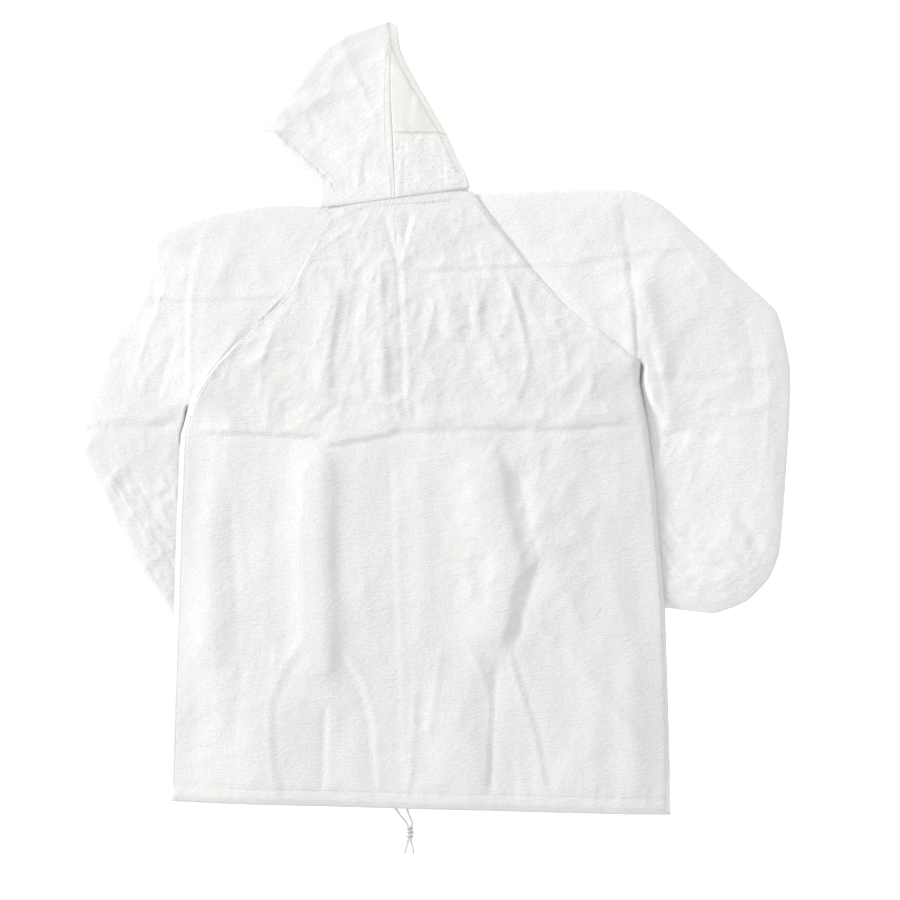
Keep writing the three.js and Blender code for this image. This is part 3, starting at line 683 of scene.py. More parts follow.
# A row of sewing stitches on the surface shape(u, v), along the line through uPath and vPath.
def layStitches(name, shape, uPath, vPath, body="jacket"):
    pitch, size, sink = stitchPlan["pitch"], stitchPlan["size"], stitchPlan["sink"]
    t = np.linspace(0, 1, 400)
    u = np.interp(t, np.linspace(0, 1, len(uPath)), uPath)
    v = np.interp(t, np.linspace(0, 1, len(vPath)), vPath)
    line = np.stack(shape(u, v), 1)
    travelled = stepsOf(line)
    spots = np.arange(pitch / 2, travelled[-1] - pitch / 2, pitch)
    places = np.stack([np.interp(spots, travelled, line[:, i]) for i in range(3)], 1)
    ahead = np.stack([np.interp(spots + 1, travelled, line[:, i]) for i in range(3)], 1)
    bm = bmesh.new()
    for place, front in zip(places, ahead):
        way = Vector(front - place).normalized()
        turn = way.to_track_quat("X", "Z").to_matrix().to_4x4()
        spot = Vector(place) + Vector((0, 0, size[2] / 2 - sink))
        scale = Matrix.Diagonal((size[0] * mm, size[1] * mm, size[2] * mm, 1))
        bmesh.ops.create_cube(bm, size=1, matrix=Matrix.Translation(spot * mm) @ turn @ scale)
    makePiece(name, finishMesh(name, bm), threadWeave, body=body)


# The back panel
def makeBack():
    mesh = layGrid("backPanel", 190, 232, backShape)
    back = makePiece("backPanel", mesh, bodyCloth, ["back_panel"], "jacket",
                     bodyPlan["cloth"], insideCloth)
    for name, u in (("left", 0.012), ("right", 0.988)):
        layStitches(name + "SideStitch", backShape, [u, u], [0.03, 0.64])
    hemLine = bodyPlan["hemSeam"] / 792
    layStitches("hemStitch", backShape, [0.01, 0.99], [hemLine, hemLine])
    for inset, name in ((6, "inner"), (10, "outer")):  # the distance grows in u as the back narrows
        foot, head = inset / 480 * 0.9, inset / 480 * 1.9
        layStitches(name + "LeftRaglanStitch", backShape, [foot, head], [0.665, 0.985])
        layStitches(name + "RightRaglanStitch", backShape, [1 - foot, 1 - head], [0.665, 0.985])


makeBack()
print("back panel laid")


# The fronts lie face down under the back, one each side of the zip
zipPlan = {
    "x": -45, "halfGap": 7, "top": 278,
    "tapeFoot": -482.6, "foot": -491, "head": 275, "pitch": 2.7,
    "tapeReach": (2.7, 15.4),  # nearer and farther edge of each tape from the zip's middle
    "tapeHeight": 10.5, "toothHeight": 9, "toothSize": (2.0, 1.5, 2.8),
}
frontPlan = {  # the flat size that each front was cut to, in metres
    "left": {"way": -1, "flat": (0.29, 0.79), "area": 0.205},
    "right": {"way": 1, "flat": (0.345, 0.79), "area": 0.24},
}


def frontShape(side):
    def shape(u, v):
        edge = bodyEdge(side, v)
        way = frontPlan[side]["way"]
        edge = edge - np.array([way * 3.0, 0]) * (v < 0.7)[:, None]  # inside the back's side seam
        zipY = mix(hemAt(zipPlan["x"]), zipPlan["top"], v)
        x = mix(float(zipPlan["x"] + way * zipPlan["halfGap"]), edge[:, 0], u)
        y = mix(zipY, edge[:, 1], u)
        ripple = crumple(x, y, 70, 71, 1.4, 1.5) * 0.5 * smooth(0, 0.1, u) * (1 - smooth(0.86, 0.97, u))
        slack = 1.6 * np.sin(u * math.pi) * (1 - smooth(0.0, 0.3, np.abs(v - 0.2)))
        turned = 5.0 * (1 - smooth(0, 7, y - hemAt(x))) ** 1.3 * smooth(-0.01, 0.12, u)
        return x, y, frontUnder(x, y) + 0.1 + np.maximum(ripple + slack * 0.4, -0.05) + turned
    return shape


def makeFronts():
    for side, plan in frontPlan.items():
        title = side + "Front"
        mesh = layGrid(title, 46, 96, frontShape(side), faces=-1)
        front = makePiece(title, mesh, bodyCloth, ["front_" + side], "jacket",
                          bodyPlan["cloth"], insideCloth)


# The turned-up hem, inside the back and the fronts: from x, to x, height
casingPlan = {
    "backHemCasing": ("back_hem_casing", -294, 256, 21.2),
    "leftFrontHemCasing": ("front_hem_casing_left", -294, -66, 14.2),
    "rightFrontHemCasing": ("front_hem_casing_right", -24, 256, 14.2),
}


def makeHemCasings():
    for name, (node, fromX, toX, height) in casingPlan.items():
        def shape(u, v):
            x = mix(fromX, toX, u)
            y = hemAt(x) + mix(1.5, 22, v)
            gather = (ridged(x, y * 0.15, 10, 81) - 0.5) * 0.5
            return x, y, height + gather * smooth(0, 0.3, v)
        mesh = layGrid(name, int((toX - fromX) / 3.5), 6, shape)
        makePiece(name, mesh, insideCloth, [node], "jacket", 0.7)


# Patch pockets on the fronts: left edge, foot, width, height
pocketPlan = {
    "leftWaistPocket": ("left_waist_pocket", -205, -480, 130, 145),
    "rightWaistPocket": ("right_waist_pocket", 20, -480, 130, 145),
    "chestPocket": ("chest_pocket", -190, 40, 110, 125),
}


def makePockets():
    for name, (node, left, foot, width, height) in pocketPlan.items():
        def shape(u, v):
            x, y = left + u * width, foot + v * height
            toEdge = np.minimum(np.minimum(u, 1 - u) * width, v * height)
            sewn = 1 - smooth(0, 9, toEdge)
            hem = 0.5 * np.exp(-np.abs((1 - v) * height - 18) / 1.5)
            sag = 0.35 * (lattice(x, y, 26, 91) - 0.5)
            return x, y, mix(1.0 + sag * (1 - sewn), 6.3, sewn) + hem
        mesh = layGrid(name, int(width / 3), int(height / 3), shape, faces=-1)
        pocket = makePiece(name, mesh, bodyCloth, [node], "jacket", 0.8)


makeFronts()
makeHemCasings()
makePockets()
print("fronts, hem casings and pockets laid")


# Sleeves: one flattened tube each from the raglan seam to the wrist, bending at the elbow
sleevePlan = {
    "left": {
        "outer": [(-130, 277), (-150, 281), (-213, 283), (-293, 270), (-356, 243), (-392, 156), (-434, 69),
                  (-463, -29), (-441, -74), (-408, -146), (-382, -195), (-346, -247), (-322, -300)],
        "inner": [(-309, 20), (-310, 16), (-312, 6), (-314, -6), (-316, -18), (-318, -32), (-320, -46),
                  (-322, -60), (-306, -98), (-286, -143), (-268, -187), (-251, -230), (-240, -270)],
        "elbow": ((-400, -44), (-0.226, -0.974)),
        "wrist": (0.36, -0.93),
        "tuck": (2.2, -2.2),
        "lap": 0.5,  # this sleeve lies over the body's edge at the raglan seam
        "elbowHeight": 12.0,
        "slopeEnd": 0.52,
        "seed": 101,
        "columns": 150,
        "rows": 150,
    },
    "right": {
        "outer": [(49, 298), (70, 301), (138, 303), (252, 303), (298, 282), (363, 224), (391, 195), (447, 143),
                  (464, 73), (463, -3), (456, -107), (450, -172), (437, -204), (408, -234), (365, -250),
                  (303, -243), (230, -232), (172, -224)],
        "inner": [(260, 74), (260, 68), (260, 58), (261, 44), (262, 30), (264, 12), (266, -6), (269, -24),
                  (272, -42), (276, -60), (281, -78), (287, -94), (280, -102), (268, -106), (252, -108),
                  (232, -111), (198, -114), (167, -117)],
        "elbow": ((376, -135), (-0.4545, -0.891)),
        "wrist": (-1, 0.03),
        "tuck": (-5.0, -5.0),
        "lap": -1.5,  # and this one under it
        "elbowHeight": 13.0,
        "slopeEnd": 0.6,
        "seed": 131,
        "columns": 160,
        "rows": 170,
    },
}


# Highest a sleeve may reach beside and under the body's side edges, below the armpits.
def bodyRoof(x, y):
    edgeLeft, edgeRight = (np.interp(y, *np.array(bodyPlan[side], float).T[::-1])
                           for side in ("leftSide", "rightSide"))
    outside = np.maximum(edgeLeft - x, x - edgeRight)
    armpitY = np.where(x < 0, 23, 78)
    free = 30 * smooth(armpitY - 8, armpitY + 6, y)
    slope = mix(np.where(x < 0, 0.6, 0.36), 2.6, smooth(armpitY - 80, armpitY - 4, y))
    return frontUnder(x, y) - 0.9 + slope * np.maximum(outside, 0) + free


# Outer and inner edge points, with v spread evenly along the sleeve.
def sleeveEnds(plan, v):
    outer, inner = np.array(plan["outer"], float), np.array(plan["inner"], float)
    travelled = (stepsOf(outer) + stepsOf(inner)) / 2
    k = np.interp(v * travelled[-1], travelled, np.arange(len(outer)) / (len(outer) - 1))
    kinked = np.stack([np.interp(k, np.linspace(0, 1, len(outer)), outer[:, i]) for i in (0, 1)], 1)
    return mix(through(outer, k), kinked, 0.6), through(inner, k), k


def sleeveShape(side):
    plan = sleevePlan[side]
    elbow, way = plan["elbow"]

    def shape(u, v):
        outer, inner, k = sleeveEnds(plan, v)
        onTop, a, flatness = aroundTube(u, 3.6)
        share = 0.5 + 0.5 * a
        point = outer + (inner - outer) * share[:, None]
        mouth = np.subtract(plan["inner"][0], plan["outer"][0])
        chord = np.array(plan["outer"][0], float) + np.outer(share, mouth)
        seam = bodyEdge(side, 1 - share * (1 - bodyPlan["armpit"])) + np.array(plan["tuck"])
        point = point + (seam - chord) * (1 - smooth(0, 0.2, v))[:, None]
        x, y = point[:, 0], point[:, 1]
        below = (x - elbow[0]) * way[0] + (y - elbow[1]) * way[1]  # distance past the elbow
        low = 7.8 * (1 - smooth(0, 0.26, k))
        shoulder = crownAt(y) - 0.2 + plan["lap"] * (1 - smooth(0.004, 0.02, v))
        high = mix(shoulder, plan["elbowHeight"], smooth(0.03, plan["slopeEnd"], k))
        middle, half = (low + high) / 2, (high - low) / 2
        tucked = smooth(0, 30, below)
        seed = plan["seed"]
        rough = crumple(x, y, 66, seed, 0.9, 1.4) * 1.5 + crumple(x, y, 28, seed + 9, 0.4) * 0.7
        swell = 3.4 * (lattice(x, y, 70, seed + 20) - 0.5)
        rough = swell + rough + 1.7 * tucked * crumple(x, y, 21, seed + 31, 2.2, 1.2)
        folds = foldHeight(x, y, jacketFolds) * mix(0.9, 0.8, tucked) * smooth(0.0, 0.03, v)
        calm = smooth(0.0, 0.22, 1 - np.abs(a))
        rough = rough * smooth(0, 0.05, v)
        above = half * flatness + calm * (rough + folds)
        lift = np.where(onTop, above, -half * flatness - 0.2 * calm * rough)
        z = middle + lift
        top = np.minimum(z, np.maximum(bodyRoof(x, y), 3.4))
        z = np.where(onTop, np.maximum(top, low + 1.6), np.clip(z, 0.15, middle))
        return x, y, np.maximum(z, 0.15)
    return shape


def makeSleeves():
    for side, plan in sleevePlan.items():
        title = side + "Sleeve"
        mesh = layGrid(title, plan["columns"], plan["rows"], sleeveShape(side), closed=True)
        nodes = [side + "_sleeve", side + "_forearm_sleeve"]
        # each sleeve's cloth carries painted shade (left) or painted light (right)
        sleeve = makePiece(title, mesh, paintedLightSleeveCloth[side], nodes,
                           thickness=1.1, inner=insideCloth)
        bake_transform(sleeve)


makeSleeves()
print("sleeves laid")


# Gathered cuffs, each with a ring of elastic inside. Inset is the share of the width, and down the
# distance along the arm, at which a ring starts.
cuffPlan = {
    "cuff": {"inset": 0, "down": -2, "length": 36, "low": 0.3, "high": 11.7, "narrow": 0.1,
             "gather": 1.0, "seed": 151},
    "elastic": {"inset": 0.06, "down": 17, "length": 15, "low": 2.2, "high": 9.8, "narrow": 0.05,
                "gather": 0.3, "seed": 161},
    "stitches": {"InnerStitch": 0.35, "OuterStitch": 0.9},
}


def cuffShape(side, inset, down, length, low, high, narrow, gather, seed):
    plan = sleevePlan[side]
    ends = (plan["outer"][-1], plan["inner"][-1], plan["wrist"])
    outer, inner, way = (np.array(p, float) for p in ends)
    outerStart, innerStart = (mix(outer, inner, share) + way * down for share in (inset, 1 - inset))

    def shape(u, v):
        onTop, a, flatness = aroundTube(u)
        pull = narrow * smooth(0, 0.7, v)
        across = innerStart - outerStart
        point = outerStart + across * (mix(pull, 1 - pull, 0.5 + 0.5 * a))[:, None]
        point = point + way * (length * v)[:, None]
        x, y = point[:, 0], point[:, 1]
        middle, half = (low + high) / 2, (high - low) / 2
        pleat = gather * (np.abs(((a * 16 + lattice(x, y, 9, seed)) % 1) - 0.5) * 2 - 0.5)
        lift = half * flatness - np.abs(pleat) * smooth(0.05, 0.3, v) * flatness
        return x, y, middle + np.where(onTop, lift, -lift)
    return shape


def makeCuffs():
    for side in ("left", "right"):
        name, body = side + "Cuff", side + "_forearm"
        shape = cuffShape(side, **cuffPlan["cuff"])
        mesh = layGrid(name, 200, 16, shape, closed=True)
        # the cuff takes its sleeve's cloth, with the same painted shade (left) or painted light (right)
        makePiece(name, mesh, paintedLightSleeveCloth[side], [side + "_cuff"], body, 0.8, insideCloth)
        for title, place in cuffPlan["stitches"].items():
            layStitches(name + title, shape, [0.03, 0.47], [place, place], body)
        mesh = layGrid(name + "Elastic", 160, 8, cuffShape(side, **cuffPlan["elastic"]), closed=True)
        makePiece(name + "Elastic", mesh, elasticWeave, [side + "_cuff_elastic"], body, 0.7)


makeCuffs()
print("cuffs gathered")


# The neck: a collar band, and the two halves of the neck zip above it, all flattened rings
neckPlan = {"centre": (-50, 289), "tilt": math.atan2(26, 194), "half": 95, "pitch": 2.6}


def atNeck(s, d):
    c, n = math.cos(neckPlan["tilt"]), math.sin(neckPlan["tilt"])
    cx, cy = neckPlan["centre"]
    return cx + s * c - d * n, cy + s * n + d * c


# A flattened ring from d to d, which is the distance up from the neck line, and from low to high.
def ringShape(fromD, toD, low, high, leftTrim=0.0, rightTrim=0.0, puff=0.0, slant=0.0):
    def shape(u, v):
        onTop, a, flatness = aroundTube(u)
        half = neckPlan["half"]
        left, right = leftTrim * (1 - v) - half, half - rightTrim * (1 - v)
        share = 0.5 + 0.5 * a
        s = mix(left, right, share)
        x, y = atNeck(s, mix(fromD - slant * share**2, toD, v))
        middle, half = (low + high) / 2, (high - low) / 2
        soft = puff * (crumple(x, y, 34, 171, 0.1, 1.4) + np.sin(v * math.pi) * 0.8)
        lift = half * flatness + np.where(onTop, soft * smooth(0, 0.15, 1 - np.abs(a)), 0)
        return x, y, middle + np.where(onTop, lift, -lift)
    return shape


def makeNeck():
    shape = ringShape(-8.5, 8.2, 7.5, 22.2, 9, -3, 0.35, 7.0)
    mesh = layGrid("collarBand", 150, 10, shape, closed=True, grain=math.pi / 2)
    makePiece("collarBand", mesh, bodyCloth, ["collar_band"], "jacket", 1.0, insideCloth)
    layStitches("collarStitch", shape, [0.02, 0.48], [0.14, 0.14], "jacket")
    for name, node, fromD, toD in (
        ("neckZipTapeCollar", "neck_zip_tape_collar", 8.3, 10.6),
        ("neckZipTapeHood", "neck_zip_tape_hood", 14.1, 16.4),
    ):
        mesh = layGrid(name, 120, 2, ringShape(fromD, toD, 8.8, 20.2), closed=True)
        makePiece(name, mesh, tapeWeave, [node], "jacket", 0.9)
    for name, node, fromD, toD, phase in (
        ("neckZipTeethCollar", "neck_zip_teeth_collar", 10.7, 12.3, 0.0),
        ("neckZipTeethHood", "neck_zip_teeth_hood", 12.5, 14.0, 0.5),
    ):
        bm = bmesh.new()
        centre, depth = (fromD + toD) / 2, toD - fromD
        half, pitch, tilt = neckPlan["half"], neckPlan["pitch"], neckPlan["tilt"]
        for height in (9.1, 19.9):  # under the ring, then over it
            for i in range(int(2 * (half - 5) / pitch)):
                spot = atNeck(5 - half + (i + phase) * pitch, centre)
                addTooth(bm, (*spot, height), tilt, (1.5, depth, 1.8))
        for end in (-1, 1):
            for height in np.arange(11.3, 18.5, pitch):
                spot = atNeck(end * (half - 2.2), centre)
                addTooth(bm, (*spot, height), tilt, (1.8, depth, 1.5))
        makeTeethPiece(name, bm, node)


# One moulded tooth: a block with its four upright corners taken off.
def addTooth(bm, place, turn, size):
    spot = Matrix.Translation(Vector(place) * mm) @ Matrix.Rotation(turn, 4, "Z")
    scale = Matrix.Diagonal((*(Vector(size) * mm), 1))
    bmesh.ops.create_cone(bm, cap_ends=True, segments=8, radius1=0.54, radius2=0.54, depth=1,
                          matrix=spot @ scale @ Matrix.Rotation(math.pi / 8, 4, "Z"))


def makeTeethPiece(name, bm, node):
    makePiece(name, finishMesh(name, bm), toothPlastic, [node], "jacket")


makeNeck()
print("collar and neck zip made")


# The front zip runs up the middle of the fronts
def makeFrontZip():
    middle, foot, head = zipPlan["x"], zipPlan["foot"], zipPlan["head"]
    pitch, height = zipPlan["pitch"], zipPlan["toothHeight"]
    for side, way in (("left", -1), ("right", 1)):
        name = "frontZipTape" + side.title()
        near, far = (middle + way * reach for reach in zipPlan["tapeReach"])

        def shape(u, v):
            y = mix(zipPlan["tapeFoot"], head, v)
            return mix(near, far, u), y, zipPlan["tapeHeight"] + 0.06 * np.sin(y / 9)
        mesh = layGrid(name, 6, 190, shape)
        makePiece(name, mesh, tapeWeave, ["front_zip_tape_" + side], "jacket", 0.6)
        bm = bmesh.new()
        for i in range(int((head - foot - 1) / pitch)):
            y = foot + 1.2 + (i + (0.5 if way > 0 else 0)) * pitch
            addTooth(bm, (middle + way * 1.15, y, height), 0, zipPlan["toothSize"])
        rail = boxMatrix((middle + way * 2.2, (foot + head) / 2, height), (0.35, head - foot - 1, 1.2))
        bmesh.ops.create_cube(bm, size=1, matrix=rail)  # joins the teeth along the tape
        makeTeethPiece("frontZipTeeth" + side.title(), bm, "front_zip_teeth_" + side)


def bevelAll(bm, offset, segments=2):
    bmesh.ops.bevel(bm, geom=bm.edges[:], offset=offset, affect="EDGES", segments=segments,
                    profile=0.5, material=-1)


# Middle and size, in millimetres, of a node's box.
def boxOf(node):
    low, high = (np.array(c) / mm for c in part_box(node))
    return (low + high) / 2, high - low


# Turns a small part round, sets it in its place and makes a metal piece of it.
def placeMetal(name, bm, place, turn, node, body):
    spot = Matrix.Translation(Vector(place) * mm) @ Matrix.Rotation(turn, 4, "Z")
    bmesh.ops.transform(bm, matrix=spot, verts=bm.verts)
    makePiece(name, finishMesh(name, bm), zincMetal, [node], body)


# A cast slider: two plates, a bridge, side flanges and a crown for the pull.
def makeSlider(name, node, turn, body):
    centre, size = boxOf(node)
    height = size[2]
    width, length = 8.3, 10.8
    bm = bmesh.new()
    parts = [
        ((0, 0, height / 2 - 0.5), (width, length, 1.0)),
        ((0, 0, -height / 2 + 1.3), (width * 0.92, length * 0.94, 0.9)),
        ((0, length * 0.3, 0.2), (2.0, 2.6, height - 1.2)),
        ((-width / 2 + 0.5, 0, height / 2 - 1.2), (0.9, length * 0.9, 1.4)),
        ((width / 2 - 0.5, 0, height / 2 - 1.2), (0.9, length * 0.9, 1.4)),
        ((0, -0.4, -height / 2 + 0.55), (2.4, length * 0.6, 1.0)),
    ]
    for place, size in parts:
        bmesh.ops.create_cube(bm, size=1, matrix=boxMatrix(place, size))
    bevelAll(bm, 0.22 * mm)
    placeMetal(name, bm, centre, turn, node, body)


# A flat pull tab with an eye at its end, a waist and a hinge bar.
def makePull(name, node, pivot, turn, body):
    bm = bmesh.new()
    half, length, thick, under = 2.9, 27.6, 1.5, 0.15
    outline = [(-1.6, 0), (-1.9, -4), (-2.3, -9), (-half, -16)]
    ring = outline[:]
    for i in range(13):
        angle = math.pi + i / 12 * math.pi
        ring.append((half * math.cos(angle), -length + half + half * math.sin(angle)))
    ring += [(-x, y) for x, y in reversed(outline)]
    low = [bm.verts.new((x * mm, y * mm, under * mm)) for x, y in ring]
    plate = bm.faces.new(low)
    bmesh.ops.inset_region(bm, faces=[plate], thickness=0.55 * mm, depth=0)
    raised = bmesh.ops.extrude_face_region(bm, geom=bm.faces[:])
    verts = [g for g in raised["geom"] if isinstance(g, bmesh.types.BMVert)]
    bmesh.ops.translate(bm, verts=verts, vec=(0, 0, thick * mm))
    top = (under + thick) * mm
    inner = [f for f in bm.faces if len(f.verts) > 8 and all(abs(v.co.z - top) < 1e-7 for v in f.verts)]
    bmesh.ops.translate(bm, verts=list({v for f in inner for v in f.verts}), vec=(0, 0, -0.45 * mm))
    bmesh.ops.recalc_face_normals(bm, faces=bm.faces)
    hinge = Matrix.Translation((0, -0.2 * mm, 0.95 * mm)) @ Matrix.Rotation(math.pi / 2, 4, "Y")
    bmesh.ops.create_cone(bm, cap_ends=True, segments=12, radius1=0.85 * mm, radius2=0.85 * mm,
                          depth=5.2 * mm, matrix=hinge)
    placeMetal(name, bm, pivot, turn, node, body)


def makeZipBox():
    centre, size = boxOf("front_zip_box")
    bm = bmesh.new()
    for shift, scale in ((0, (1, 1, 0.78)), (-0.18, (0.7, 0.5, 1)), (0.3, (0.25, 0.36, 1))):
        place = centre + np.array((0, size[1] * shift, 0))
        bmesh.ops.create_cube(bm, size=1, matrix=boxMatrix(place, size * np.array(scale)))
    bevelAll(bm, 0.35 * mm)
    makeTeethPiece("frontZipBox", bm, "front_zip_box")


makeFrontZip()
makeZipBox()
makeSlider("frontZipSlider", "front_zip_slider", 0, "front_slider")
makePull("frontZipPull", "front_zip_pull", (-45, 264, 0), 0, "front_pull")
neckTurn = neckPlan["tilt"] - math.pi / 2
makeSlider("neckZipSlider", "neck_zip_slider", neckTurn, "neck_slider")
makePull("neckZipPull", "neck_zip_pull", (2.87, 308.55, 0), neckTurn, "neck_pull")
print("front zip, sliders and pulls made")


# The hood, in profile. Its four outlines run from the neck seam to the peak.
hoodPlan = {
    "front": [(-147, 276), (-148, 305), (-174, 331), (-213, 370), (-223, 381), (-199, 413), (-176, 446),
              (-134, 492), (-64, 518)],
    "seam": [(-50, 289), (-50, 303), (-51, 325), (-52, 350), (-53, 374), (-55, 405), (-56, 440), (-56, 478),
             (-54, 518)],
    "back": [(47, 302), (43, 316), (38, 329), (28, 350), (17, 374), (-4, 411), (-24, 446), (-42, 482),
             (-48, 518)],
    "top": 24.6,
    "tip": 0.5,
}
# The three panels on top, with their flat size and area in metres
hoodPanels = {
    "hoodSidePanel": {"edges": ("front", "seam"), "run": (0.0, 0.995), "cells": (62, 96), "grain": 0.5,
                      "cloth": hoodCloth, "slot": "hood_cloth", "node": "hood_side_panel",
                      "flat": (0.175, 0.25), "area": 0.033},
    "hoodNeckBand": {"edges": ("seam", "back"), "run": (0.0, 0.497), "cells": (40, 44), "grain": 0.0,
                     "cloth": bandCloth, "slot": "hood_cloth", "node": "hood_neck_band",
                     "flat": (0.1, 0.09), "area": 0.0074},
    # this panel's cream cloth is painted shade for a facet turned away from the light
    "hoodBackPanel": {"edges": ("seam", "back"), "run": (0.497, 0.955), "cells": (30, 52), "grain": 0.0,
                      "cloth": creamPaintedShadeCloth, "slot": "hood_cream_cloth", "node": "hood_back_panel",
                      "flat": (0.075, 0.14), "area": 0.007},
}
hoodFolds = [
    ("crease", 0.45, 2.2, [(-50, 286), (-51, 325), (-53, 374), (-56, 440), (-56, 490)]),
    ("fin", 0.5, 2.6, [(-57, 288), (-57, 325), (-59, 374), (-62, 440), (-61, 490)]),
    ("crease", 1.2, 1.8, [(-53, 371), (-18, 371), (20, 370)]),
    ("fin", 2.0, 5, [(-215, 380), (-160, 372), (-120, 352), (-80, 346)]),
    ("crease", 2.0, 7, [(-200, 372), (-150, 350), (-118, 330), (-70, 318)]),
    ("fin", 1.6, 5, [(-180, 345), (-150, 330), (-120, 300)]),
    ("ridge", 2.2, 12, [(-190, 400), (-140, 420), (-90, 440)]),
    ("crease", 1.5, 7, [(-160, 440), (-110, 420), (-66, 410)]),
    ("fin", 1.5, 5, [(-120, 480), (-92, 430), (-72, 380)]),
    ("fin", 1.2, 5, [(-100, 300), (-92, 340), (-84, 380)]),
    ("crease", 1.2, 6, [(-30, 400), (-26, 440), (-44, 480)]),
    ("ridge", 1.2, 9, [(-14, 380), (-30, 430), (-46, 476)]),
]


def hoodPoint(edge, t):
    return through(hoodPlan[edge], t)


def hoodHeight(x, y, t):
    front, back = hoodPoint("front", t), hoodPoint("back", t)
    toFront = np.hypot(x - front[:, 0], y - front[:, 1])
    toBack = np.hypot(x - back[:, 0], y - back[:, 1])
    folded = smooth(hoodPlan["tip"] - 0.05, hoodPlan["tip"] + 0.06, t)
    started = smooth(0.15, 0.32, t)
    backRoll, frontRoll = (1 - smooth(0, 13, toBack)) ** 1.5, (1 - smooth(0, 8, toFront)) ** 1.5
    roll = np.maximum(backRoll, frontRoll * folded) * started
    calm = smooth(0, 14, np.minimum(toFront, toBack)) * smooth(0.01, 0.08, t)
    neck = 1 - smooth(0.42, 0.5, t)
    crinkle = (ridged(x, y * 0.12, 8.5, 181) - 0.5) * 1.1 + (ridged(x, y * 0.16, 17, 183) - 0.5) * 0.8
    rightward = smooth(-150, -40, x)
    rough = crumple(x, y, 58, 191, 0.6, 1.2) * 1.5 + crumple(x, y, 24, 195, 0.9) * 0.6
    rough = rough * mix(1, 0.55, neck * rightward)
    height = hoodPlan["top"] + calm * (foldHeight(x, y, hoodFolds) + rough)
    height = height + crinkle * neck * rightward * calm
    bulge = 3.6 * smooth(0, 60, toBack) * (1 - smooth(8, 75, toFront)) * smooth(0.2, 0.6, t)
    bulge = bulge - 1.3 * (1 - smooth(0, 0.02, t))  # the neck edge is pressed down on the zip
    return mix(height + bulge, 3.4, roll)


def hoodPart(leftEdge, rightEdge, fromT, toT):
    def shape(u, v):
        t = mix(fromT, toT, v)
        left, right = hoodPoint(leftEdge, t), hoodPoint(rightEdge, t)
        if leftEdge == "front":  # the peak wraps round to the back edge
            right = mix(right, hoodPoint("back", t), smooth(0.86, 0.94, t)[:, None])
        point = left + (right - left) * u[:, None]
        x, y = point[:, 0], point[:, 1]
        z = hoodHeight(x, y, t)
        if leftEdge == "front":
            toFace = u * np.linalg.norm(right - left, axis=1)
            faceSide = (1 - smooth(hoodPlan["tip"] - 0.06, hoodPlan["tip"], t)) * smooth(0.08, 0.16, t)
            casing = 1.2 * np.exp(-(((toFace - 9) / 8) ** 2)) - 1.0 * np.exp(-np.abs(toFace - 19) / 1.6)
            pucker = (ridged(x, y, 8, 201) - 0.5) * 1.2 * (1 - smooth(16, 34, toFace))
            z = z + faceSide * (casing + pucker * smooth(0, 4, toFace))
        return x, y, z
    return shape


def makeHood():
    shapes = {}
    for name, plan in hoodPanels.items():
        shapes[name] = hoodPart(*plan["edges"], *plan["run"])
        mesh = layGrid(name, *plan["cells"], shapes[name], grain=plan["grain"])
        panel = makePiece(name, mesh, plan["cloth"], [plan["node"]], "hood", 1.0, insideCloth)

    def under(u, v):
        t = mix(0.14, 0.98, v)
        front, back = hoodPoint("front", t), hoodPoint("back", t)
        point = front + (back - front) * mix(0.025, 0.985, u)[:, None]
        x, y = point[:, 0], point[:, 1]
        return x, y, 1.3 + 0.7 * (lattice(x, y, 22, 211) - 0.5)
    mesh = layGrid("hoodUnderPanel", 50, 60, under, faces=-1)
    panel = makePiece("hoodUnderPanel", mesh, hoodCloth, ["hood_under_panel"], "hood",
                      0.8, insideCloth)

    def strip(width, low, wave):
        def shape(u, v):
            t = mix(0.17, 0.39, v)
            front = hoodPoint("front", t)
            x = front[:, 0] + 1.5 + u * width
            y = front[:, 1] + 0.315 * (1.5 + u * width)
            return x, y, low + wave * np.sin(u * width / 6 + v * 5)
        return shape
    for name, node, width, low, wave, material, slotName in (
        ("faceRimUpper", "face_rim_upper", 18, 21.0, 0.15, hoodCloth, "hood_cloth"),
        ("faceRimLower", "face_rim_lower", 18, 3.2, 0.15, hoodCloth, "hood_cloth"),
        ("faceVeil", "veil", 62, 5.0, 0.4, netWeave, "netting"),
    ):
        mesh = layGrid(name, int(width / 1.6), 40, strip(width, low, wave))
        piece = makePiece(name, mesh, material, [node], "hood", 0.6)
    for name, panel, across, along in (
        ("hoodSeamStitchOuter", "hoodSidePanel", [0.985, 0.985], [0.01, 0.98]),
        ("hoodSeamStitchInner", "hoodSidePanel", [0.94, 0.93], [0.01, 0.97]),
        ("hoodFaceStitch", "hoodSidePanel", [0.17, 0.115], [0.09, 0.5]),
        ("hoodBackStitch", "hoodBackPanel", [0.03, 0.93], [0.02, 0.02]),
        ("hoodNeckStitch", "hoodNeckBand", [0.03, 0.97], [0.045, 0.045]),
    ):
        layStitches(name, shapes[panel], across, along, "hood")


makeHood()
print("hood laid")


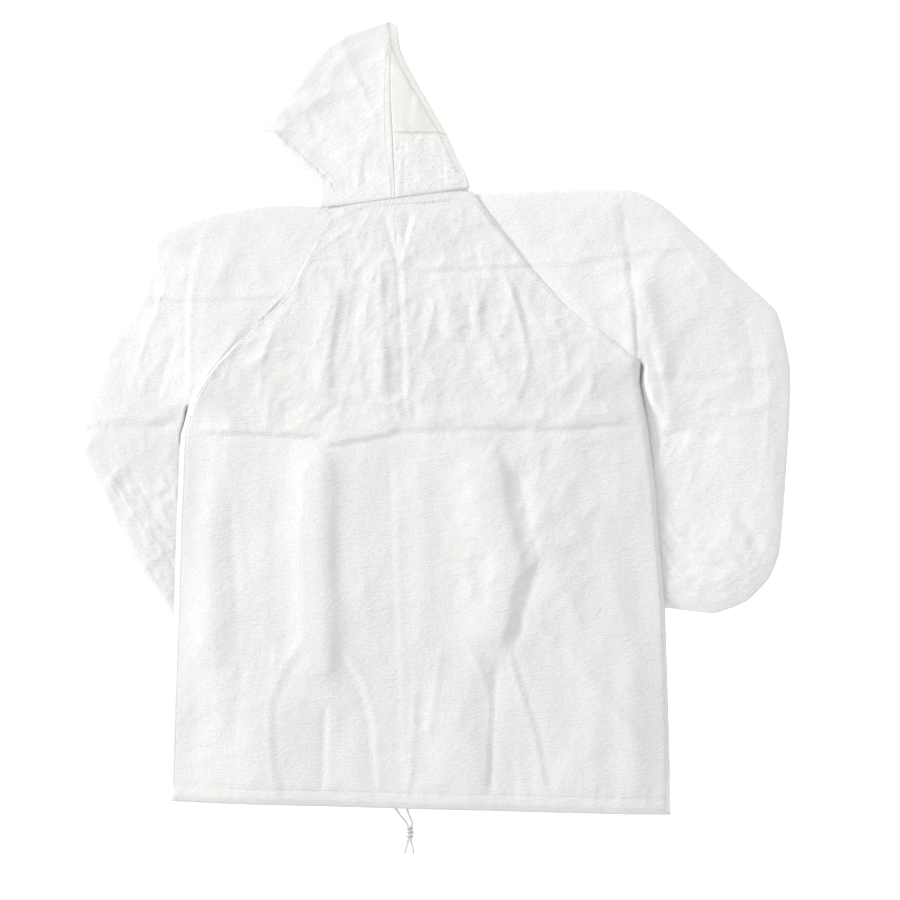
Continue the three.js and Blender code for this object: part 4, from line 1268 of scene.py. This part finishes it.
# The drawcord's free ends, tied together in one knot
cordPlan = {
    "diameter": 3.0,
    "left": [(-65.6, -490.9, 11.6), (-60, -492.2, 11.7), (-54.5, -496.5, 11.8), (-49.5, -503.5, 11),
             (-45, -510.5, 7.6), (-40.5, -517, 4.8), (-36.2, -522.3, 3.8), (-33.4, -528, 3.7), (-32, -536, 3.6),
             (-32.8, -543, 3.2), (-34.2, -549.6, 2.6), (-35.6, -554, 1.9), (-37.2, -558.5, 1.6), (-38.6, -563, 1.6)],
    "right": [(-24.4, -492, 11.6), (-29, -493.2, 11.7), (-33, -497.3, 11.7), (-34.4, -504, 10.8),
              (-32.8, -511, 7.6), (-30.2, -517.5, 4.8), (-28.4, -522.8, 3.8), (-29.4, -528, 3.7), (-31, -536, 3.6),
              (-30.2, -543, 3.2), (-29.2, -549.8, 2.6), (-28, -554.4, 1.9), (-27.2, -559, 1.6), (-27, -563.6, 1.6)],
    "knot": {"centre": (-32, -536, 4.1), "across": 4.6, "rise": 2.4, "length": 19, "turns": 3.6,
             "diameter": 2.8},
}


# A round cord through the points, as a mesh with closed ends.
def layTube(name, points, diameter, sides=4):
    curve = bpy.data.curves.new(name + "Line", "CURVE")
    curve.dimensions = "3D"
    spline = curve.splines.new("POLY")
    spline.points.add(len(points) - 1)
    for spot, place in zip(spline.points, points):
        spot.co = (*(Vector(place) * mm), 1)
    curve.bevel_depth = diameter / 2 * mm
    curve.bevel_resolution = sides
    curve.use_fill_caps = True
    holder = bpy.data.objects.new(name + "Line", curve)
    bpy.context.scene.collection.objects.link(holder)
    bpy.context.view_layer.update()
    settled = holder.evaluated_get(bpy.context.evaluated_depsgraph_get())
    mesh = bpy.data.meshes.new_from_object(settled)
    bpy.data.objects.remove(holder)
    mesh.name = name
    bm = bmesh.new()
    bm.from_mesh(mesh)
    bmesh.ops.remove_doubles(bm, verts=bm.verts, dist=1e-6)
    bmesh.ops.recalc_face_normals(bm, faces=bm.faces)
    for face in bm.faces:
        face.smooth = True
    bm.to_mesh(mesh)
    bm.free()
    return mesh


def makeCords():
    plan = cordPlan["knot"]
    t = np.linspace(0, 1, 90)
    angle = t * plan["turns"] * 2 * math.pi
    cx, cy, cz = plan["centre"]
    swell = 0.8 + 0.2 * np.sin(t * math.pi)
    knot = np.stack([
        cx + plan["across"] * swell * np.cos(angle),
        cy + plan["length"] * (0.5 - t) + 1.6 * np.cos(angle + 0.6),
        cz + plan["rise"] * np.sin(angle),
    ], 1)
    mesh = layTube("cordKnot", knot, plan["diameter"])
    knotPiece = makePiece("cordKnot", mesh, cordBraid, ["cord_knot"], "jacket")
    for side in ("left", "right"):
        route = through(cordPlan[side], np.linspace(0, 1, 40))
        name = side + "CordEnd"
        mesh = layTube(name, route, cordPlan["diameter"])
        nodes = ["cord_strand_" + side, "cord_end_" + side]
        piece = makePiece(name, mesh, cordBraid, nodes, "jacket")


def keepDrawcord():
    drawcord = bpy.data.objects.get("hem_drawcord")
    for slot in drawcord.material_slots:
        slot.material = cordBraid


makeCords()
keepDrawcord()
print("cords tied")
